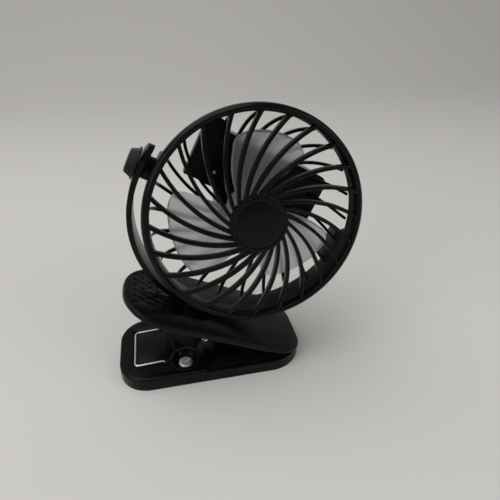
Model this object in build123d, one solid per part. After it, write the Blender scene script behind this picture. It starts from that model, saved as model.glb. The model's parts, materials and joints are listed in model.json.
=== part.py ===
from build123d import *
from math import asin, atan2, ceil, cos, degrees, pi, radians, sin, sqrt
import os

# A clip fan: a spring clip carries a yoke, and the yoke carries a tilting fan head.
# Millimetres, +Z up. Origin: centre of the clip base on its bottom face.
# +X runs to the jaw tip, +Y to the back. The head looks towards -Y.

# ---------------------------------------------------------------- clip base
base_length = 110.0
base_width = 54.2
base_corner_handle = 17.5
base_corner_jaw = 20.8
base_height = 8.5          # the raised top
base_rim = 7.0             # the side wall, and the low rim round the jaw pad
base_wall = 2.2
base_skin = 2.0
cover_thick = 1.8
plate_gap = 0.15
pad_start = -5.0
pad_top = 6.6
pad_thick = 1.6
pad_inset = 2.4
tongue_end = 19.0
screw_head_r = 4.6
pit_x = -16.5
pit_y = base_width * 0.273
pit_mouth = screw_head_r + 2.8
pit_ring = pit_mouth + 2.1
pit_floor_r = screw_head_r + 0.8
pit_floor = 4.6
pit_wall = 1.3
screw_head_h = 2.3
screw_r = 1.3

# ---------------------------------------------------------------- hinge and spring
hinge_x = 8.0
hinge_z = 17.5
hinge_pin_r = 1.6
hinge_fit = 0.05
wire_r = 0.65
coil_r = hinge_pin_r + wire_r + 1.05
coil_pitch = 2 * wire_r + 0.56
leg_y = wire_r + 0.55      # the base legs leave the coils near the middle
coil_turns = 2.33
wire_to_lug = 0.4
lug_in = leg_y + coil_pitch * coil_turns + wire_r + wire_to_lug
lug_out = lug_in + 1.8
ear_in = lug_out + 0.3
ear_out = ear_in + 2.0
lug_r = hinge_pin_r + 2.0
tongue_half = ear_out + 0.9  # half width of the raised tongue that carries the hinge
base_leg_angle = -150.0    # direction of the base leg as it leaves the coil
lever_leg_reach = 12.5
wire_inside = 4.3          # height of the wire inside the base
bail_x = 9.0 - base_length / 2
bail_y = 14.5
rise_x = -28.5
bail_low = 7.95
bail_high = 9.05

# ---------------------------------------------------------------- lever
lever_tilt = 25.35
tip_x = base_length / 2
tip_z = 8.25
lever_length = base_length + 1.4
lever_width = base_width + 0.4
lever_corner_handle = 25.0
lever_corner_jaw = 18.0
lever_skin = 2.0
lever_wall = 2.2
skirt_mid = 3.2
skirt_handle = 3.2
skirt_tip = 1.2
dimple_r = 0.9
dimple_deep = 0.5

# ---------------------------------------------------------------- swivel and yoke
ring_r = 56.9              # outside radius of the head
boss_face = ring_r + 2.6
yoke_gap = 0.3
yoke_inner = boss_face + yoke_gap
yoke_outer = yoke_inner + 2.8
yoke_cap = 0.8             # the low cap over the right pivot
spot_deep = 0.12           # the arms are faced flat round the pivot
yoke_clear = 2.65          # from the seat to the inside of the yoke
arc_drop = 3.0             # the yoke's arc is struck from below the pivot
arm_rise = 4.0             # the arms' round ends are struck from above it
pivot_height = yoke_inner + arc_drop + yoke_clear
swivel_back = base_length * 0.608  # from the jaw tip to the swivel axis, along the lever
swivel_turn = -2.7
seat_tilt = 2.8            # the swivel seat leans from the lever's top
seat_rise = 0.8
head_tilt = 6.9
yoke_width = 15.4
yoke_foot_r = 12.0
yoke_lift = 0.1
yoke_bottom = 0.3
post_r = 3.2
boss_deep = 4.6
washer_r = 4.3
turn_fit = 0.05
face_gap = 0.1

# ---------------------------------------------------------------- head
rim_forward = 16.1         # from the tilt pivot to the rim plane
ring_inner = ring_r - 3.7
ring_front = 3.8
ring_back = -1.8
drum_r = ring_r - 2.0
drum_inner = drum_r - 2.0
drum_back = -29.8
wall_deep = 6.0            # the solid wall behind the ring, before the cage opens
pad_half = 9.0             # half width of the two pads that carry the pivots
rib_count = 24
front_phase = 9.3
rear_phase = 4.8
rib_width = 1.85
rear_rib_width = 1.65
rib_deep = 3.8
rib_outer_z = 3.4
rib_end = drum_r - 0.7     # the ribs run into the ring
hub_cap_r = 14.9
hub_cap_z = 7.7
stud_r = 2.4
nut_thick = 3.0
nut_r = stud_r + 1.6
drum_boss_r = nut_r + 2.0
pod_front = drum_back + 2.0
pod_plate = pod_front - drum_back
pod_wall = 2.0
pod_round = 7.0
pod_left = -33.6
pod_low = 1.6
motor_r = 8.0
motor_length = 14.8
cell_r = 9.2
cell_length = 64.5
pod_right = pod_left + cell_length + 8.5
cell_y = motor_r + cell_r + 3.3
cell_z = pod_front - pod_plate - 6.0 - cell_r
pod_high = cell_y + cell_r + 0.15 + pod_wall
pod_back = cell_z - cell_r - 0.6 - pod_wall
lobe_r = motor_r + 7.6
lobe_back = pod_front - pod_plate - motor_length - 3.2
arm_left = -38.5
arm_right = -24.5
arm_top = 36.5
arm_low = pod_low + 1
shaft_r = 1.0
board_low = pod_low + 2.3
board_high = board_low + 6.2
board_left = 10.0
board_right = pod_right - 4.6
board_thick = 1.2
board_z = pod_back + 8.0
usb_low = board_low - 0.05
button_x = 21.0
lamp_x = -23.5
lamp_y = 9.4
button_r = 2.6
button_travel = 1.0

# ---------------------------------------------------------------- impeller
blade_count = 3
blade_r = ring_r - 13.7
blade_centre = 100.8
blade_thick = 1.5
blade_lead_z = -19.2
blade_trail_z = -2.4
fan_hub_r = 12.5
fan_hub_front = 1.0
fan_hub_back = -19.2

# ---------------------------------------------------------------- knob
knob_flange_r = 8.5
knob_flange = 0.9
knob_corner = 8.2          # at the flange
knob_taper = 22.0
knob_length = 4.8
knob_gap = 0.35
stud_head_r = 3.6
stud_head_start = 1.2
stud_head_thick = 2.7

lever_at = Pos(tip_x, 0, tip_z) * Rot(0, lever_tilt, 0)
seat_at = lever_at * Pos(-swivel_back, 0, seat_rise) * Rot(0, seat_tilt, 0)
yoke_at = seat_at * Rot(0, 0, swivel_turn)
pivot_at = yoke_at * Pos(0, 0, pivot_height) * Rot(90 - head_tilt, 0, 0)
rim_at = pivot_at * Pos(0, 0, rim_forward)


# ---------------------------------------------------------------- shared shapes
def rod(radius, low, high):
    """A cylinder on the local Z axis from low to high."""
    return Pos(0, 0, (low + high) / 2) * Cylinder(radius, high - low)


def block(x0, x1, y0, y1, z0, z1):
    """A box given by its six faces."""
    centre = Pos((x0 + x1) / 2, (y0 + y1) / 2, (z0 + z1) / 2)
    return centre * Box(x1 - x0, y1 - y0, z1 - z0)


def cross_rod(radius, x, z, y0, y1):
    """A cylinder along Y."""
    return Pos(x, (y0 + y1) / 2, z) * Rot(90, 0, 0) * Cylinder(radius, y1 - y0)


def long_rod(radius, x0, x1, y=0.0, z=0.0):
    """A cylinder along X."""
    return Pos((x0 + x1) / 2, y, z) * Rot(0, 90, 0) * Cylinder(radius, x1 - x0)


def turned(points):
    """A solid of revolution about Z from (radius, height) points."""
    profile = Plane.XZ * make_face(Polyline(*points, close=True))
    return revolve(profile, Axis.Z)


def side_cut(points, y0, y1):
    """A prism along Y from (x, z) points."""
    profile = Plane.XZ * make_face(Polyline(*points, close=True))
    return Pos(0, y1, 0) * extrude(profile, y1 - y0)


def rounded_plan(length, width, r_left, r_right, inset=0.0):
    """A rectangle with one corner radius at each end, centred on the origin."""
    sheet = Rectangle(length - 2 * inset, width - 2 * inset)
    sheet = fillet(sheet.vertices().sort_by(Axis.X)[:2], r_left - inset)
    return fillet(sheet.vertices().sort_by(Axis.X)[-2:], r_right - inset)


def polar(radius, angle):
    """Plan point at a radius and an angle in degrees."""
    return (radius * cos(radians(angle)), radius * sin(radians(angle)))


def rib_strips(phase, width, low, high):
    """The curved grille ribs as tall strips, before the bowl shape trims them."""
    path = ThreePointArc(polar(rib_end, phase), polar(rib_end * 0.645, phase + 15),
                         polar(hub_cap_r - 1.5, phase + 47))
    strip = Pos(0, 0, low) * extrude(trace(path, width), high - low)
    step = 360 / rib_count
    return [Rot(0, 0, step * i) * strip for i in range(rib_count)]


# ---------------------------------------------------------------- clip base
def base_plan(inset=0.0):
    """Outline of the base."""
    return rounded_plan(base_length, base_width, base_corner_handle, base_corner_jaw, inset)


def pad_zone(inset, grow=0.0):
    """Plan of the jaw pad: the base outline ahead of the hinge, less the tongue."""
    start = pad_start - grow
    zone = base_plan(inset) & Pos(start + 50, 0) * Rectangle(100, 80)
    half = tongue_half - grow
    end = tongue_end - grow
    tongue = Pos((start + end) / 2 - 10, 0) * Rectangle(end - start + 20, 2 * half)
    zone = zone - tongue
    near = [v for v in zone.vertices() if abs(v.X - start) < 0.1 and abs(abs(v.Y) - half) < 0.1]
    return fillet(near, 11.0)


def make_base_shell():
    """The lower half of the clip, open below."""
    body = extrude(base_plan(), base_height)
    body = fillet(body.faces().sort_by(Axis.Z)[-1].edges(), base_height - base_rim)
    body -= Pos(0, 0, base_rim) * extrude(pad_zone(0.0, 0.3), 5)
    body -= Pos(0, 0, pad_top - pad_thick) * extrude(pad_zone(pad_inset), 10)
    room = extrude(base_plan(base_wall), base_height - base_skin)
    low_roof = pad_top - pad_thick - base_skin
    room -= Pos(0, 0, low_roof) * extrude(pad_zone(0.0, 2.0), 10)
    body -= room
    at = Pos(pit_x, -pit_y, 0)
    bottom = pit_floor - 1.4
    outer = ((0, bottom), (pit_floor_r + pit_wall, bottom),
             (pit_mouth + pit_wall, base_height), (pit_ring, base_height),
             (pit_ring - 0.4, base_height + 0.5), (0, base_height + 0.5))
    inner = ((0, pit_floor), (pit_floor_r, pit_floor), (pit_mouth, base_height + 0.6),
             (0, base_height + 0.6))
    body += at * turned(outer)
    body -= at * turned(inner)
    body -= at * rod(screw_r + 0.15, bottom - 1, pit_floor + 1)
    ear_low = base_height - base_skin
    for side in (1, -1):
        ear = side_cut(((hinge_x - 6, ear_low), (hinge_x + 6, ear_low),
                        (hinge_x + lug_r - 0.3, hinge_z), (hinge_x - lug_r + 0.3, hinge_z)),
                       ear_in, ear_out)
        ear += cross_rod(lug_r, hinge_x, hinge_z, ear_in, ear_out)
        if side < 0:
            ear = mirror(ear, Plane.XZ)
        body += ear
        body -= block(rise_x - 2.2, rise_x + 1.0, side * bail_y - 1.0, side * bail_y + 1.0, 5, 12)
        groove_floor = bail_low - wire_r
        body -= block(bail_x - 1.4, rise_x + 1.0, side * bail_y - 1.5, side * bail_y + 1.5,
                      groove_floor, 12)
    body -= block(bail_x - 1.4, bail_x + 1.6, -bail_y - 1.5, bail_y + 1.5, bail_low - wire_r, 12)
    body -= cross_rod(hinge_pin_r, hinge_x, hinge_z, -ear_out - 1, ear_out + 1)
    body -= block(-6.6, 1.2, -leg_y - 1.2, leg_y + 1.2, 5, 12)
    return body


def make_base_cover():
    """The plate that closes the base, with its screw boss."""
    cover = extrude(base_plan(base_wall + plate_gap), cover_thick)
    at = Pos(pit_x, -pit_y, 0)
    cover += at * rod(3.4, 0, pit_floor - 1.4)
    return cover - at * rod(screw_r, 0.6, 9)


def make_base_pad():
    """The rubber jaw pad, set into the base."""
    pad = Pos(0, 0, pad_top - pad_thick) * extrude(pad_zone(pad_inset + 0.1, -0.1), pad_thick)
    return pad


def pan_screw(head_r, head_h, shank_r, length):
    """A cross-head screw: head on +Z, shank down from zero."""
    screw = rod(head_r, 0, head_h)
    screw = fillet(screw.faces().sort_by(Axis.Z)[-1].edges(), head_h * 0.45)
    screw += rod(shank_r, -length, 0)
    slot = head_r * 0.5
    cross = block(-slot, slot, -0.45, 0.45, head_h * 0.35, head_h + 1)
    cross += block(-0.45, 0.45, -slot, slot, head_h * 0.35, head_h + 1)
    return screw - cross


def make_base_screw():
    """The screw that holds the base together, deep in its pit."""
    screw = pan_screw(screw_head_r, screw_head_h, screw_r, pit_floor - 1.0)
    return Pos(pit_x, -pit_y, pit_floor) * Rot(0, 0, 20) * screw


def make_hinge_pin():
    """The pin through the ears, with a head at each end."""
    pin = cross_rod(hinge_pin_r, hinge_x, hinge_z, -ear_out - 0.6, ear_out + 0.6)
    for side in (1, -1):
        near, far = sorted((side * ear_out, side * (ear_out + 0.9)))
        pin += cross_rod(hinge_pin_r + 0.9, hinge_x, hinge_z, near, far)
    return pin


# ---------------------------------------------------------------- torsion spring
def biarc(p0, t0, p1, t1):
    """Two tangent arcs from p0 along t0 to p1 along t1."""
    gap = p1 - p0
    both = t0 + t1
    lean = gap.dot(both)
    spare = 2 * (1 - t0.dot(t1))
    reach = (sqrt(lean * lean + spare * gap.dot(gap)) - lean) / spare
    middle = (p0 + t0 * reach + p1 - t1 * reach) * 0.5
    first = Edge.make_tangent_arc(p0, t0, middle)
    return [first, Edge.make_tangent_arc(middle, first % 1, p1)]


def coil_point(angle, start, side):
    """Point and direction on the coil, wound clockwise seen from the front."""
    turn = radians(angle)
    down = coil_pitch / (2 * pi)
    y = leg_y + down * (radians(angle) - start)
    point = Vector(hinge_x + coil_r * cos(turn), side * y, hinge_z + coil_r * sin(turn))
    way = Vector(sin(turn), -side * down / coil_r, -cos(turn))
    return point, way.normalized()


def spring_half(side):
    """Edges of one half of the spring, from the lever leg to the middle of the bail."""
    tilt = radians(lever_tilt)
    along = Vector(-cos(tilt), 0, sin(tilt))
    up = Vector(sin(tilt), 0, cos(tilt))
    centre = Vector(hinge_x, 0, hinge_z)
    top = Vector(tip_x, 0, tip_z)
    drop = (top - centre).dot(up) - lever_skin - wire_r - 0.03
    far = centre + along * lever_leg_reach + up * drop
    span = far - centre
    lean = asin(coil_r / span.length)
    angle = atan2(span.Z, span.X) + lean
    leg_way = Vector(cos(angle), 0, sin(angle))
    first = degrees(angle) - 90
    last = base_leg_angle + 90 - 720
    start = radians(last)
    p0, t0 = coil_point(first, start, side)
    far = far + Vector(0, p0.Y, 0)
    edges = [Edge.make_line(far, p0)]
    steps = ceil((first - last) / 90)
    t0 = (leg_way * -1).normalized()
    for i in range(steps):
        turn = first + (last - first) * (i + 1) / steps
        p1, t1 = coil_point(turn, start, side)
        if i == steps - 1:
            t1 = Vector(cos(radians(base_leg_angle)), 0, sin(radians(base_leg_angle)))
        pair = biarc(p0, t0, p1, t1)
        edges += pair
        p0, t0 = p1, t1
    fall = (p0.Z - wire_inside) / t0.Z
    floor_in = p0 - t0 * fall
    y = side * leg_y
    run = FilletPolyline(
        tuple(p0), (floor_in.X, y, wire_inside), (rise_x + 3.5, y, wire_inside),
        (rise_x, side * bail_y, wire_inside), (rise_x, side * bail_y, bail_high),
        (bail_x, side * bail_y, bail_low), (bail_x, 0, bail_low),
        radius=(3.0, 2.6, 1.6, 1.6, 2.2))
    return edges + list(run.edges().sort_by(run))


def spring_path():
    """The whole wire as one chain of edges."""
    near = spring_half(1)
    far = spring_half(-1)
    return Wire(near + far)


def self_gap(path):
    """Least distance between parts of the wire that are not neighbours, less its thickness."""
    count = 900
    length = path.length
    step = length / count
    spots = [path @ (i / count) for i in range(count + 1)]
    skip = int(ceil(2.2 * pi * coil_r / 2 / step))
    least = 1e9
    for i, a in enumerate(spots):
        for b in spots[i + skip:]:
            d = (a.X - b.X) ** 2 + (a.Y - b.Y) ** 2 + (a.Z - b.Z) ** 2
            least = min(least, d)
    return sqrt(least) - 2 * wire_r


def make_spring():
    """The double torsion spring: one wire, two coils, a bail on the base."""
    path = spring_path()
    print("spring wire length", round(path.length, 1), "least self-gap", round(self_gap(path), 3))
    start = Plane(path @ 0, z_dir=path % 0)
    return sweep(start * Circle(wire_r), path=path)


# ---------------------------------------------------------------- lever
def lever_plan(inset=0.0):
    """Outline of the lever, measured back from the jaw tip."""
    sheet = rounded_plan(lever_length, lever_width, lever_corner_handle, lever_corner_jaw, inset)
    return Pos(-lever_length / 2, 0) * sheet


def hinge_local():
    """Hinge centre in the lever's own frame."""
    tilt = radians(lever_tilt)
    dx, dz = hinge_x - tip_x, hinge_z - tip_z
    return dx * cos(tilt) - dz * sin(tilt), dx * sin(tilt) + dz * cos(tilt)


def make_lever_shell():
    """The upper half of the clip: a tray turned over, with hinge lugs and the swivel boss."""
    end = -lever_length
    side = ((0, 0), (end + 3.2, 0), (end + 1.8, -0.35), (end + 0.8, -1.0), (end + 0.2, -2.0),
            (end, -skirt_handle), (end + 7, -skirt_handle), (end + 30, -skirt_mid),
            (-28, -skirt_mid), (0, -skirt_tip))
    body = Pos(0, 0, -8) * extrude(lever_plan(), 8)
    body = fillet(body.faces().sort_by(Axis.Z)[-1].edges(), 1.0)
    body &= side_cut(side, -40, 40)
    body -= Pos(0, 0, -12) * extrude(lever_plan(lever_wall), 12 - lever_skin)
    hx, hz = hinge_local()
    for s in (1, -1):
        lug = side_cut(((hx - 9, -1), (hx + 9, -1), (hx + lug_r - 0.3, hz), (hx - lug_r + 0.3, hz)),
                       lug_in, lug_out)
        lug += cross_rod(lug_r, hx, hz, lug_in, lug_out)
        if s < 0:
            lug = mirror(lug, Plane.XZ)
        body += lug
    body -= cross_rod(hinge_pin_r + hinge_fit, hx, hz, -20, 20)
    seat = Pos(-swivel_back, 0, seat_rise) * Rot(0, seat_tilt, 0)
    body += seat * chamfer(rod(yoke_foot_r + 0.6, -2.2, 0).faces().sort_by(Axis.Z)[-1].edges(), 0.2)
    body += seat * rod(6.4, -boss_deep, -1)
    body -= seat * rod(post_r + turn_fit, -10, 10)
    for i in range(5):
        for j in range(6):
            x = 6.1 - lever_length + 4.5 * i
            y = -12.0 + 5.3 * j + (2.65 if i % 2 else 0)
            body -= Pos(x, y, 0) * rod(dimple_r, -dimple_deep, 1)
    return body


def make_lever_pad():
    """The rubber strip under the jaw of the lever."""
    strip = Pos(-22, 0) * Rectangle(22, 42)
    strip = fillet(strip.vertices(), 5.0)
    pad = Pos(0, 0, -lever_skin - 1.2) * extrude(strip, 1.2)
    for x in (-28, -24, -20, -16):
        pad += block(x - 0.8, x + 0.8, -17, 17, -lever_skin - 1.8, -lever_skin - 1.0)
    return pad


# ---------------------------------------------------------------- swivel and yoke
def make_yoke():
    """The U-shaped yoke with its foot disc and the post it turns on."""
    centre = Pos(0, 0, pivot_height - arc_drop) * Rot(90, 0, 0) * Rot(0, 0, 90)
    hoop = centre * (Cylinder(yoke_outer, yoke_width) - Cylinder(yoke_inner, yoke_width + 2))
    half = yoke_width / 2
    reach = yoke_outer + 20
    top = pivot_height + arm_rise
    side = block(-reach, reach, -half, half, yoke_bottom, top)
    side += long_rod(half, -reach, reach, 0, top)
    band = hoop & side
    foot = rod(yoke_foot_r, yoke_lift, yoke_clear)
    foot = chamfer(foot.faces().sort_by(Axis.Z)[-1].edges(), 0.8)
    yoke = band + foot + rod(post_r, -boss_deep - face_gap, 1)
    flat = yoke_inner + spot_deep
    yoke -= long_rod(drum_boss_r + 0.8, -flat, flat, 0, pivot_height)
    yoke += long_rod(drum_boss_r, yoke_inner + 1, yoke_outer + yoke_cap, 0, pivot_height)
    yoke -= long_rod(stud_r + turn_fit, -yoke_outer - 5, -boss_face, 0, pivot_height)
    yoke -= long_rod(stud_r + turn_fit, boss_face, yoke_outer + 0.1, 0, pivot_height)
    yoke -= rod(1.5, -20, 2.2)
    return yoke


def make_swivel_screw():
    """The screw up into the post from under the lever."""
    low = -boss_deep - face_gap - 0.8
    return Pos(0, 0, low) * Rot(180, 0, 0) * pan_screw(2.8, 1.8, 1.5, -low + 1.5)


def make_swivel_washer():
    """The washer that keeps the yoke on the lever."""
    low = -boss_deep - face_gap - 0.8
    return rod(washer_r, low, low + 0.8) - rod(1.6, low - 1, low + 2)


# ---------------------------------------------------------------- tilt knob and pivots
def knob_face():
    """Where the knob's inner face stands, just off the left arm."""
    return -(yoke_outer + knob_gap)


def stud_head():
    """The stud's hexagon head, which the knob is moulded round."""
    head = extrude(RegularPolygon(stud_head_r, 6, major_radius=False), stud_head_thick)
    return Pos(knob_face() - stud_head_start, 0, 0) * Rot(0, -90, 0) * head


def make_knob_cap():
    """The tapered hex knob on the left arm."""
    face = knob_face()
    cap = long_rod(knob_flange_r, face - knob_flange, face)
    hexagon = extrude(RegularPolygon(knob_corner, 6), knob_length - knob_flange, taper=knob_taper)
    hexagon = fillet(hexagon.faces().sort_by(Axis.Z)[-1].edges(), 0.6)
    cap += Pos(face - knob_flange, 0, 0) * Rot(0, -90, 0) * hexagon
    cap -= long_rod(stud_r, face - stud_head_start - 0.1, face + 1)
    return cap - stud_head()


def make_knob_stud():
    """The hex-head stud moulded into the knob."""
    return long_rod(stud_r, knob_face() - stud_head_start - 0.1, -boss_face + 4.7) + stud_head()


def make_pivot_nut():
    """The nut held in the left drum boss, in the pivot frame."""
    nut = Pos(-boss_face + 1.5, 0, 0) * Rot(0, 90, 0)
    nut = nut * extrude(RegularPolygon(nut_r, 6), nut_thick)
    return nut - long_rod(stud_r + turn_fit, -boss_face - 1, -boss_face + 6)


def make_pivot_pin():
    """The pin pressed into the right drum boss, turning in the right arm."""
    pin = long_rod(stud_r, boss_face - 4.2, yoke_outer)
    return chamfer(pin.faces().sort_by(Axis.X)[-1].edges(), 0.4)


# ---------------------------------------------------------------- front grille
def make_front_grille():
    """Ring, curved ribs and hub cap in one moulding."""
    step = 1.6
    ring = turned(((ring_inner, ring_front - step), (ring_inner + 0.5, ring_front - 0.5),
                   (ring_inner + 1.4, ring_front), (ring_r - 1.6, ring_front),
                   (ring_r - 0.5, ring_front - 0.6), (ring_r, ring_front - 1.8),
                   (ring_r, ring_back + 0.6), (ring_r - 0.5, ring_back),
                   (drum_r + 0.05, ring_back), (drum_r + 0.05, 0.05), (ring_inner, 0.05)))
    low = rib_outer_z - rib_deep
    top = hub_cap_z - 0.1
    mid = rib_end * 0.64
    root = hub_cap_r - 2.5
    bowl = turned(((rib_end + 0.4, 0.3), (rib_end + 0.4, rib_outer_z), (mid, rib_outer_z + 2.9),
                   (root, top), (root, top - rib_deep), (mid, rib_outer_z + 2.9 - rib_deep),
                   (drum_inner - 0.3, low), (drum_inner - 0.3, 0.3)))
    ribs = [strip & bowl for strip in rib_strips(front_phase, rib_width, -6, 12)]
    z = hub_cap_z
    cap = turned(((0, z + 0.7), (6, z + 0.55), (hub_cap_r - 3.3, z + 0.1), (hub_cap_r - 2.7, z - 0.4),
                  (hub_cap_r - 2.1, z + 0.1), (hub_cap_r - 0.9, z), (hub_cap_r, z - 0.8),
                  (hub_cap_r, z - rib_deep),
                  (hub_cap_r - 1.6, z - rib_deep), (hub_cap_r - 1.6, z - 2.0), (0, z - 1.5)))
    whole = ring + ribs
    return whole + cap


# ---------------------------------------------------------------- rear grille and drum
def pod_plan(inset=0.0):
    """Outline of the pod: a rounded box and the motor lobe."""
    wide = pod_right - pod_left - 2 * inset
    tall = pod_high - pod_low - 2 * inset
    sheet = Rectangle(wide, tall)
    sheet = fillet(sheet.vertices().sort_by(Axis.X)[:2], pod_round - inset)
    sheet = fillet(sheet.vertices().sort_by(Axis.X)[-2:], 5 - inset)
    sheet = Pos((pod_left + pod_right) / 2, (pod_low + pod_high) / 2) * sheet
    return sheet


def make_drum():
    """The cage's front wall and the two pads that carry the pivot bosses."""
    pad_back = -rim_forward - nut_r - 3.5
    drum = turned(((drum_inner, 0), (drum_r, 0), (drum_r, pad_back), (drum_inner, pad_back)))
    reach = drum_r + 5
    drum -= block(-reach, reach, pad_half, reach, pad_back - 1, -wall_deep)
    drum -= block(-reach, reach, -reach, -pad_half, pad_back - 1, -wall_deep)
    pivot = Pos(0, 0, -rim_forward)
    for side in (-1, 1):
        near, far = sorted((side * (drum_inner + 0.6), side * boss_face))
        drum += pivot * long_rod(drum_boss_r, near, far)
    drum -= pivot * long_rod(stud_r, drum_inner - 5, boss_face + 1)
    drum -= pivot * long_rod(stud_r + turn_fit, -boss_face - 1, -drum_inner + 5)
    nut_room = pivot * Pos(-boss_face + 1.5, 0, 0) * Rot(0, 90, 0)
    return drum - nut_room * extrude(RegularPolygon(nut_r, 6), 9)


def make_rear_grille():
    """The rear ribs, the pod's front plate, the motor seat and the upright arm."""
    r, back = drum_inner, drum_back
    bowl = turned(((r, -wall_deep - 0.5), (r - 0.9, back + 17.8), (r - 2.9, back + 11.3),
                   (r - 6.4, back + 5.8), (r - 11.9, back + 2.0), (r - 17.9, back + 0.4),
                   (12, back), (12, back + 2.8), (r - 18.4, back + 3.1), (r - 13.1, back + 4.4),
                   (r - 8.4, back + 7.6), (r - 5.1, back + 12.5), (r - 3.1, back + 18.6),
                   (r - 2.0, -wall_deep + 1), (r, -wall_deep + 3.5)))
    under = extrude(pod_plan(1.0), 60)
    hole = Pos(0, 0, pod_front - 60) * under
    hole += (Pos(0, 0, -80) * under) & rod(38, -40, -20)
    hole += rod(lobe_r - 1, -40, -20)
    ribs = [(strip & bowl) - hole for strip in rib_strips(rear_phase, rear_rib_width, -36, 0)]
    plate = Pos(0, 0, pod_front - pod_plate) * extrude(pod_plan(), pod_plate)
    whole = plate + rod(lobe_r, pod_front - pod_plate, pod_front)
    whole += rod(5.5, pod_front, pod_front + 3)
    half = (arm_right - arm_left) / 2
    arm = block(arm_left, arm_right, arm_low, arm_top - half, drum_back - 2.5, drum_back + 3.5)
    arm += Pos(arm_left + half, arm_top - half, 0) * rod(half, drum_back - 2.5, drum_back + 3.5)
    whole += arm - Pos(0, 0, -60) * extrude(pod_plan(), 60 + pod_front - pod_plate)
    whole = whole + ribs
    whole -= rod(2.6, -40, -20)
    whole -= Pos(lamp_x, lamp_y, 0) * rod(1.0, -40, -20)
    for x, y in cover_screw_spots():
        depth = 4.0
        whole += Pos(x, y, 0) * rod(2.4, pod_front - pod_plate - depth, pod_front - pod_plate)
        whole -= Pos(x, y, 0) * rod(1.0, pod_front - pod_plate - depth - 1, pod_front - 0.8)
    return whole


def cover_screw_spots():
    """Plan places of the rear cover's screws."""
    return ((-7.9, -7.7), (7.9, -7.7), (pod_left + 5.6, pod_low + 5.3))


def make_rear_cover():
    """The pod's housing, screwed on from behind."""
    plate_back = pod_front - pod_plate
    box = Pos(0, 0, pod_back) * extrude(pod_plan(), plate_back - pod_back)
    box = fillet(box.faces().sort_by(Axis.Z)[0].edges(), 3.0)
    lobe = rod(lobe_r, lobe_back, plate_back)
    lobe = fillet(lobe.faces().sort_by(Axis.Z)[0].edges(), 3.0)
    room = Pos(0, 0, pod_back + pod_wall) * extrude(pod_plan(pod_wall), 60)
    room += rod(lobe_r - pod_wall, lobe_back + pod_wall, 0)
    cover = (box + lobe) - room
    for x, y in cover_screw_spots():
        back = lobe_back if y < 0 else pod_back
        well = rod(2.9, back + 1.0, plate_back - 4.0)
        cover += Pos(x, y, 0) * well
        cover -= Pos(x, y, 0) * rod(2.1, back - 5, plate_back - 7.0)
        cover -= Pos(x, y, 0) * rod(1.2, back - 5, plate_back + 5)
    ring_back_z = plate_back - motor_length
    cup = rod(motor_r + 1.5, lobe_back + 1.0, ring_back_z + 2) - rod(motor_r, ring_back_z, 0)
    cover += cup - block(-20, 20, 4.0, 20, -60, 0)
    cover -= rod(2.0, lobe_back + 0.8, 0)
    cover -= Pos(button_x, (board_low + board_high) / 2, 0) * rod(button_r + 0.2, -70, -50)
    cover -= block(pod_right - 7, pod_right + 7, usb_low - 0.15, usb_low + 7.25,
                   board_z - 0.05, board_z + 3.1)
    return cover


def make_housing_screws():
    """The three rear screws."""
    seat = pod_front - pod_plate - 7.0
    screw = Rot(180, 0, 0) * pan_screw(1.9, 1.3, 1.0, 7.5)
    return [Pos(x, y, seat) * screw for x, y in cover_screw_spots()]


# ---------------------------------------------------------------- inside the pod
def make_motor_can():
    """The steel can of the motor, open at the front plate's bush."""
    front = pod_front - pod_plate
    back = front - motor_length
    can = rod(motor_r, back, front) - rod(motor_r - 0.8, back + 1.0, front - 1.0)
    return can - rod(1.8, back - 1, front + 1)


def make_motor_bushes():
    """Front and rear bearing bushes of the motor."""
    front = pod_front - pod_plate
    back = front - motor_length
    bush = rod(1.8, -0.9, 0.9) + rod(2.5, -0.9, -0.1) - rod(shaft_r + turn_fit, -2, 2)
    return [Pos(0, 0, front - 0.9) * bush, Pos(0, 0, back + 0.9) * Rot(180, 0, 0) * bush]


def make_motor_shaft():
    """The motor shaft."""
    return rod(shaft_r, pod_front - pod_plate - motor_length + 0.2, -6)


def make_motor_armature():
    """The wound armature as a plain core with three winding slots."""
    front = pod_front - pod_plate
    core = rod(6.2, front - 11.5, front - 3.5) + rod(2.2, front - 13.0, front - 2.4)
    for i in range(3):
        core -= Rot(0, 0, 120 * i) * block(3.2, 8, -0.7, 0.7, front - 14, front)
    return core - rod(shaft_r, -60, 0)


def cell_start():
    """Left end of the cell."""
    return pod_right - pod_wall - 0.8 - cell_length


def make_battery():
    """The rechargeable cell."""
    x0 = cell_start()
    cell = long_rod(cell_r, x0, x0 + cell_length - 1.0, cell_y, cell_z)
    return cell + long_rod(3.0, x0 + cell_length - 1.2, x0 + cell_length, cell_y, cell_z)


def make_battery_contacts():
    """The two spring-steel contacts at the ends of the cell."""
    x0 = cell_start()
    x1 = x0 + cell_length
    y, z = cell_y - 2.5, cell_z
    left = block(pod_left + pod_wall, x0, y - 3, y + 3, z - 3, z + 3)
    left -= block(pod_left + pod_wall + 0.5, x0 - 0.5, y - 4, y + 4, z - 2.5, z + 4)
    right = block(x1, pod_right - pod_wall, y - 1, y + 5, z - 3, z + 3)
    return [left, right]


def make_circuit_board():
    """The charging and switching board with its parts."""
    board = block(board_left, board_right, board_low, board_high,
                  board_z - board_thick, board_z)
    for x in (13.0, 17.0, 27.0):
        board += block(x, x + 2.6, board_low + 1.3, board_low + 4.5, board_z, board_z + 1.2)
    return board


def make_usb_socket():
    """The charging socket in the pod's right end."""
    x0, x1 = pod_right - 6.8, pod_right - 0.2
    y = usb_low
    shell = block(x0, x1, y, y + 7.1, board_z, board_z + 2.9)
    shell -= block(x0 + 1.5, x1 + 1, y + 0.5, y + 6.6, board_z + 0.45, board_z + 2.45)
    return shell + block(x0 + 1, x1 - 1.2, y + 1.5, y + 5.5, board_z + 1.15, board_z + 1.7)


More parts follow.
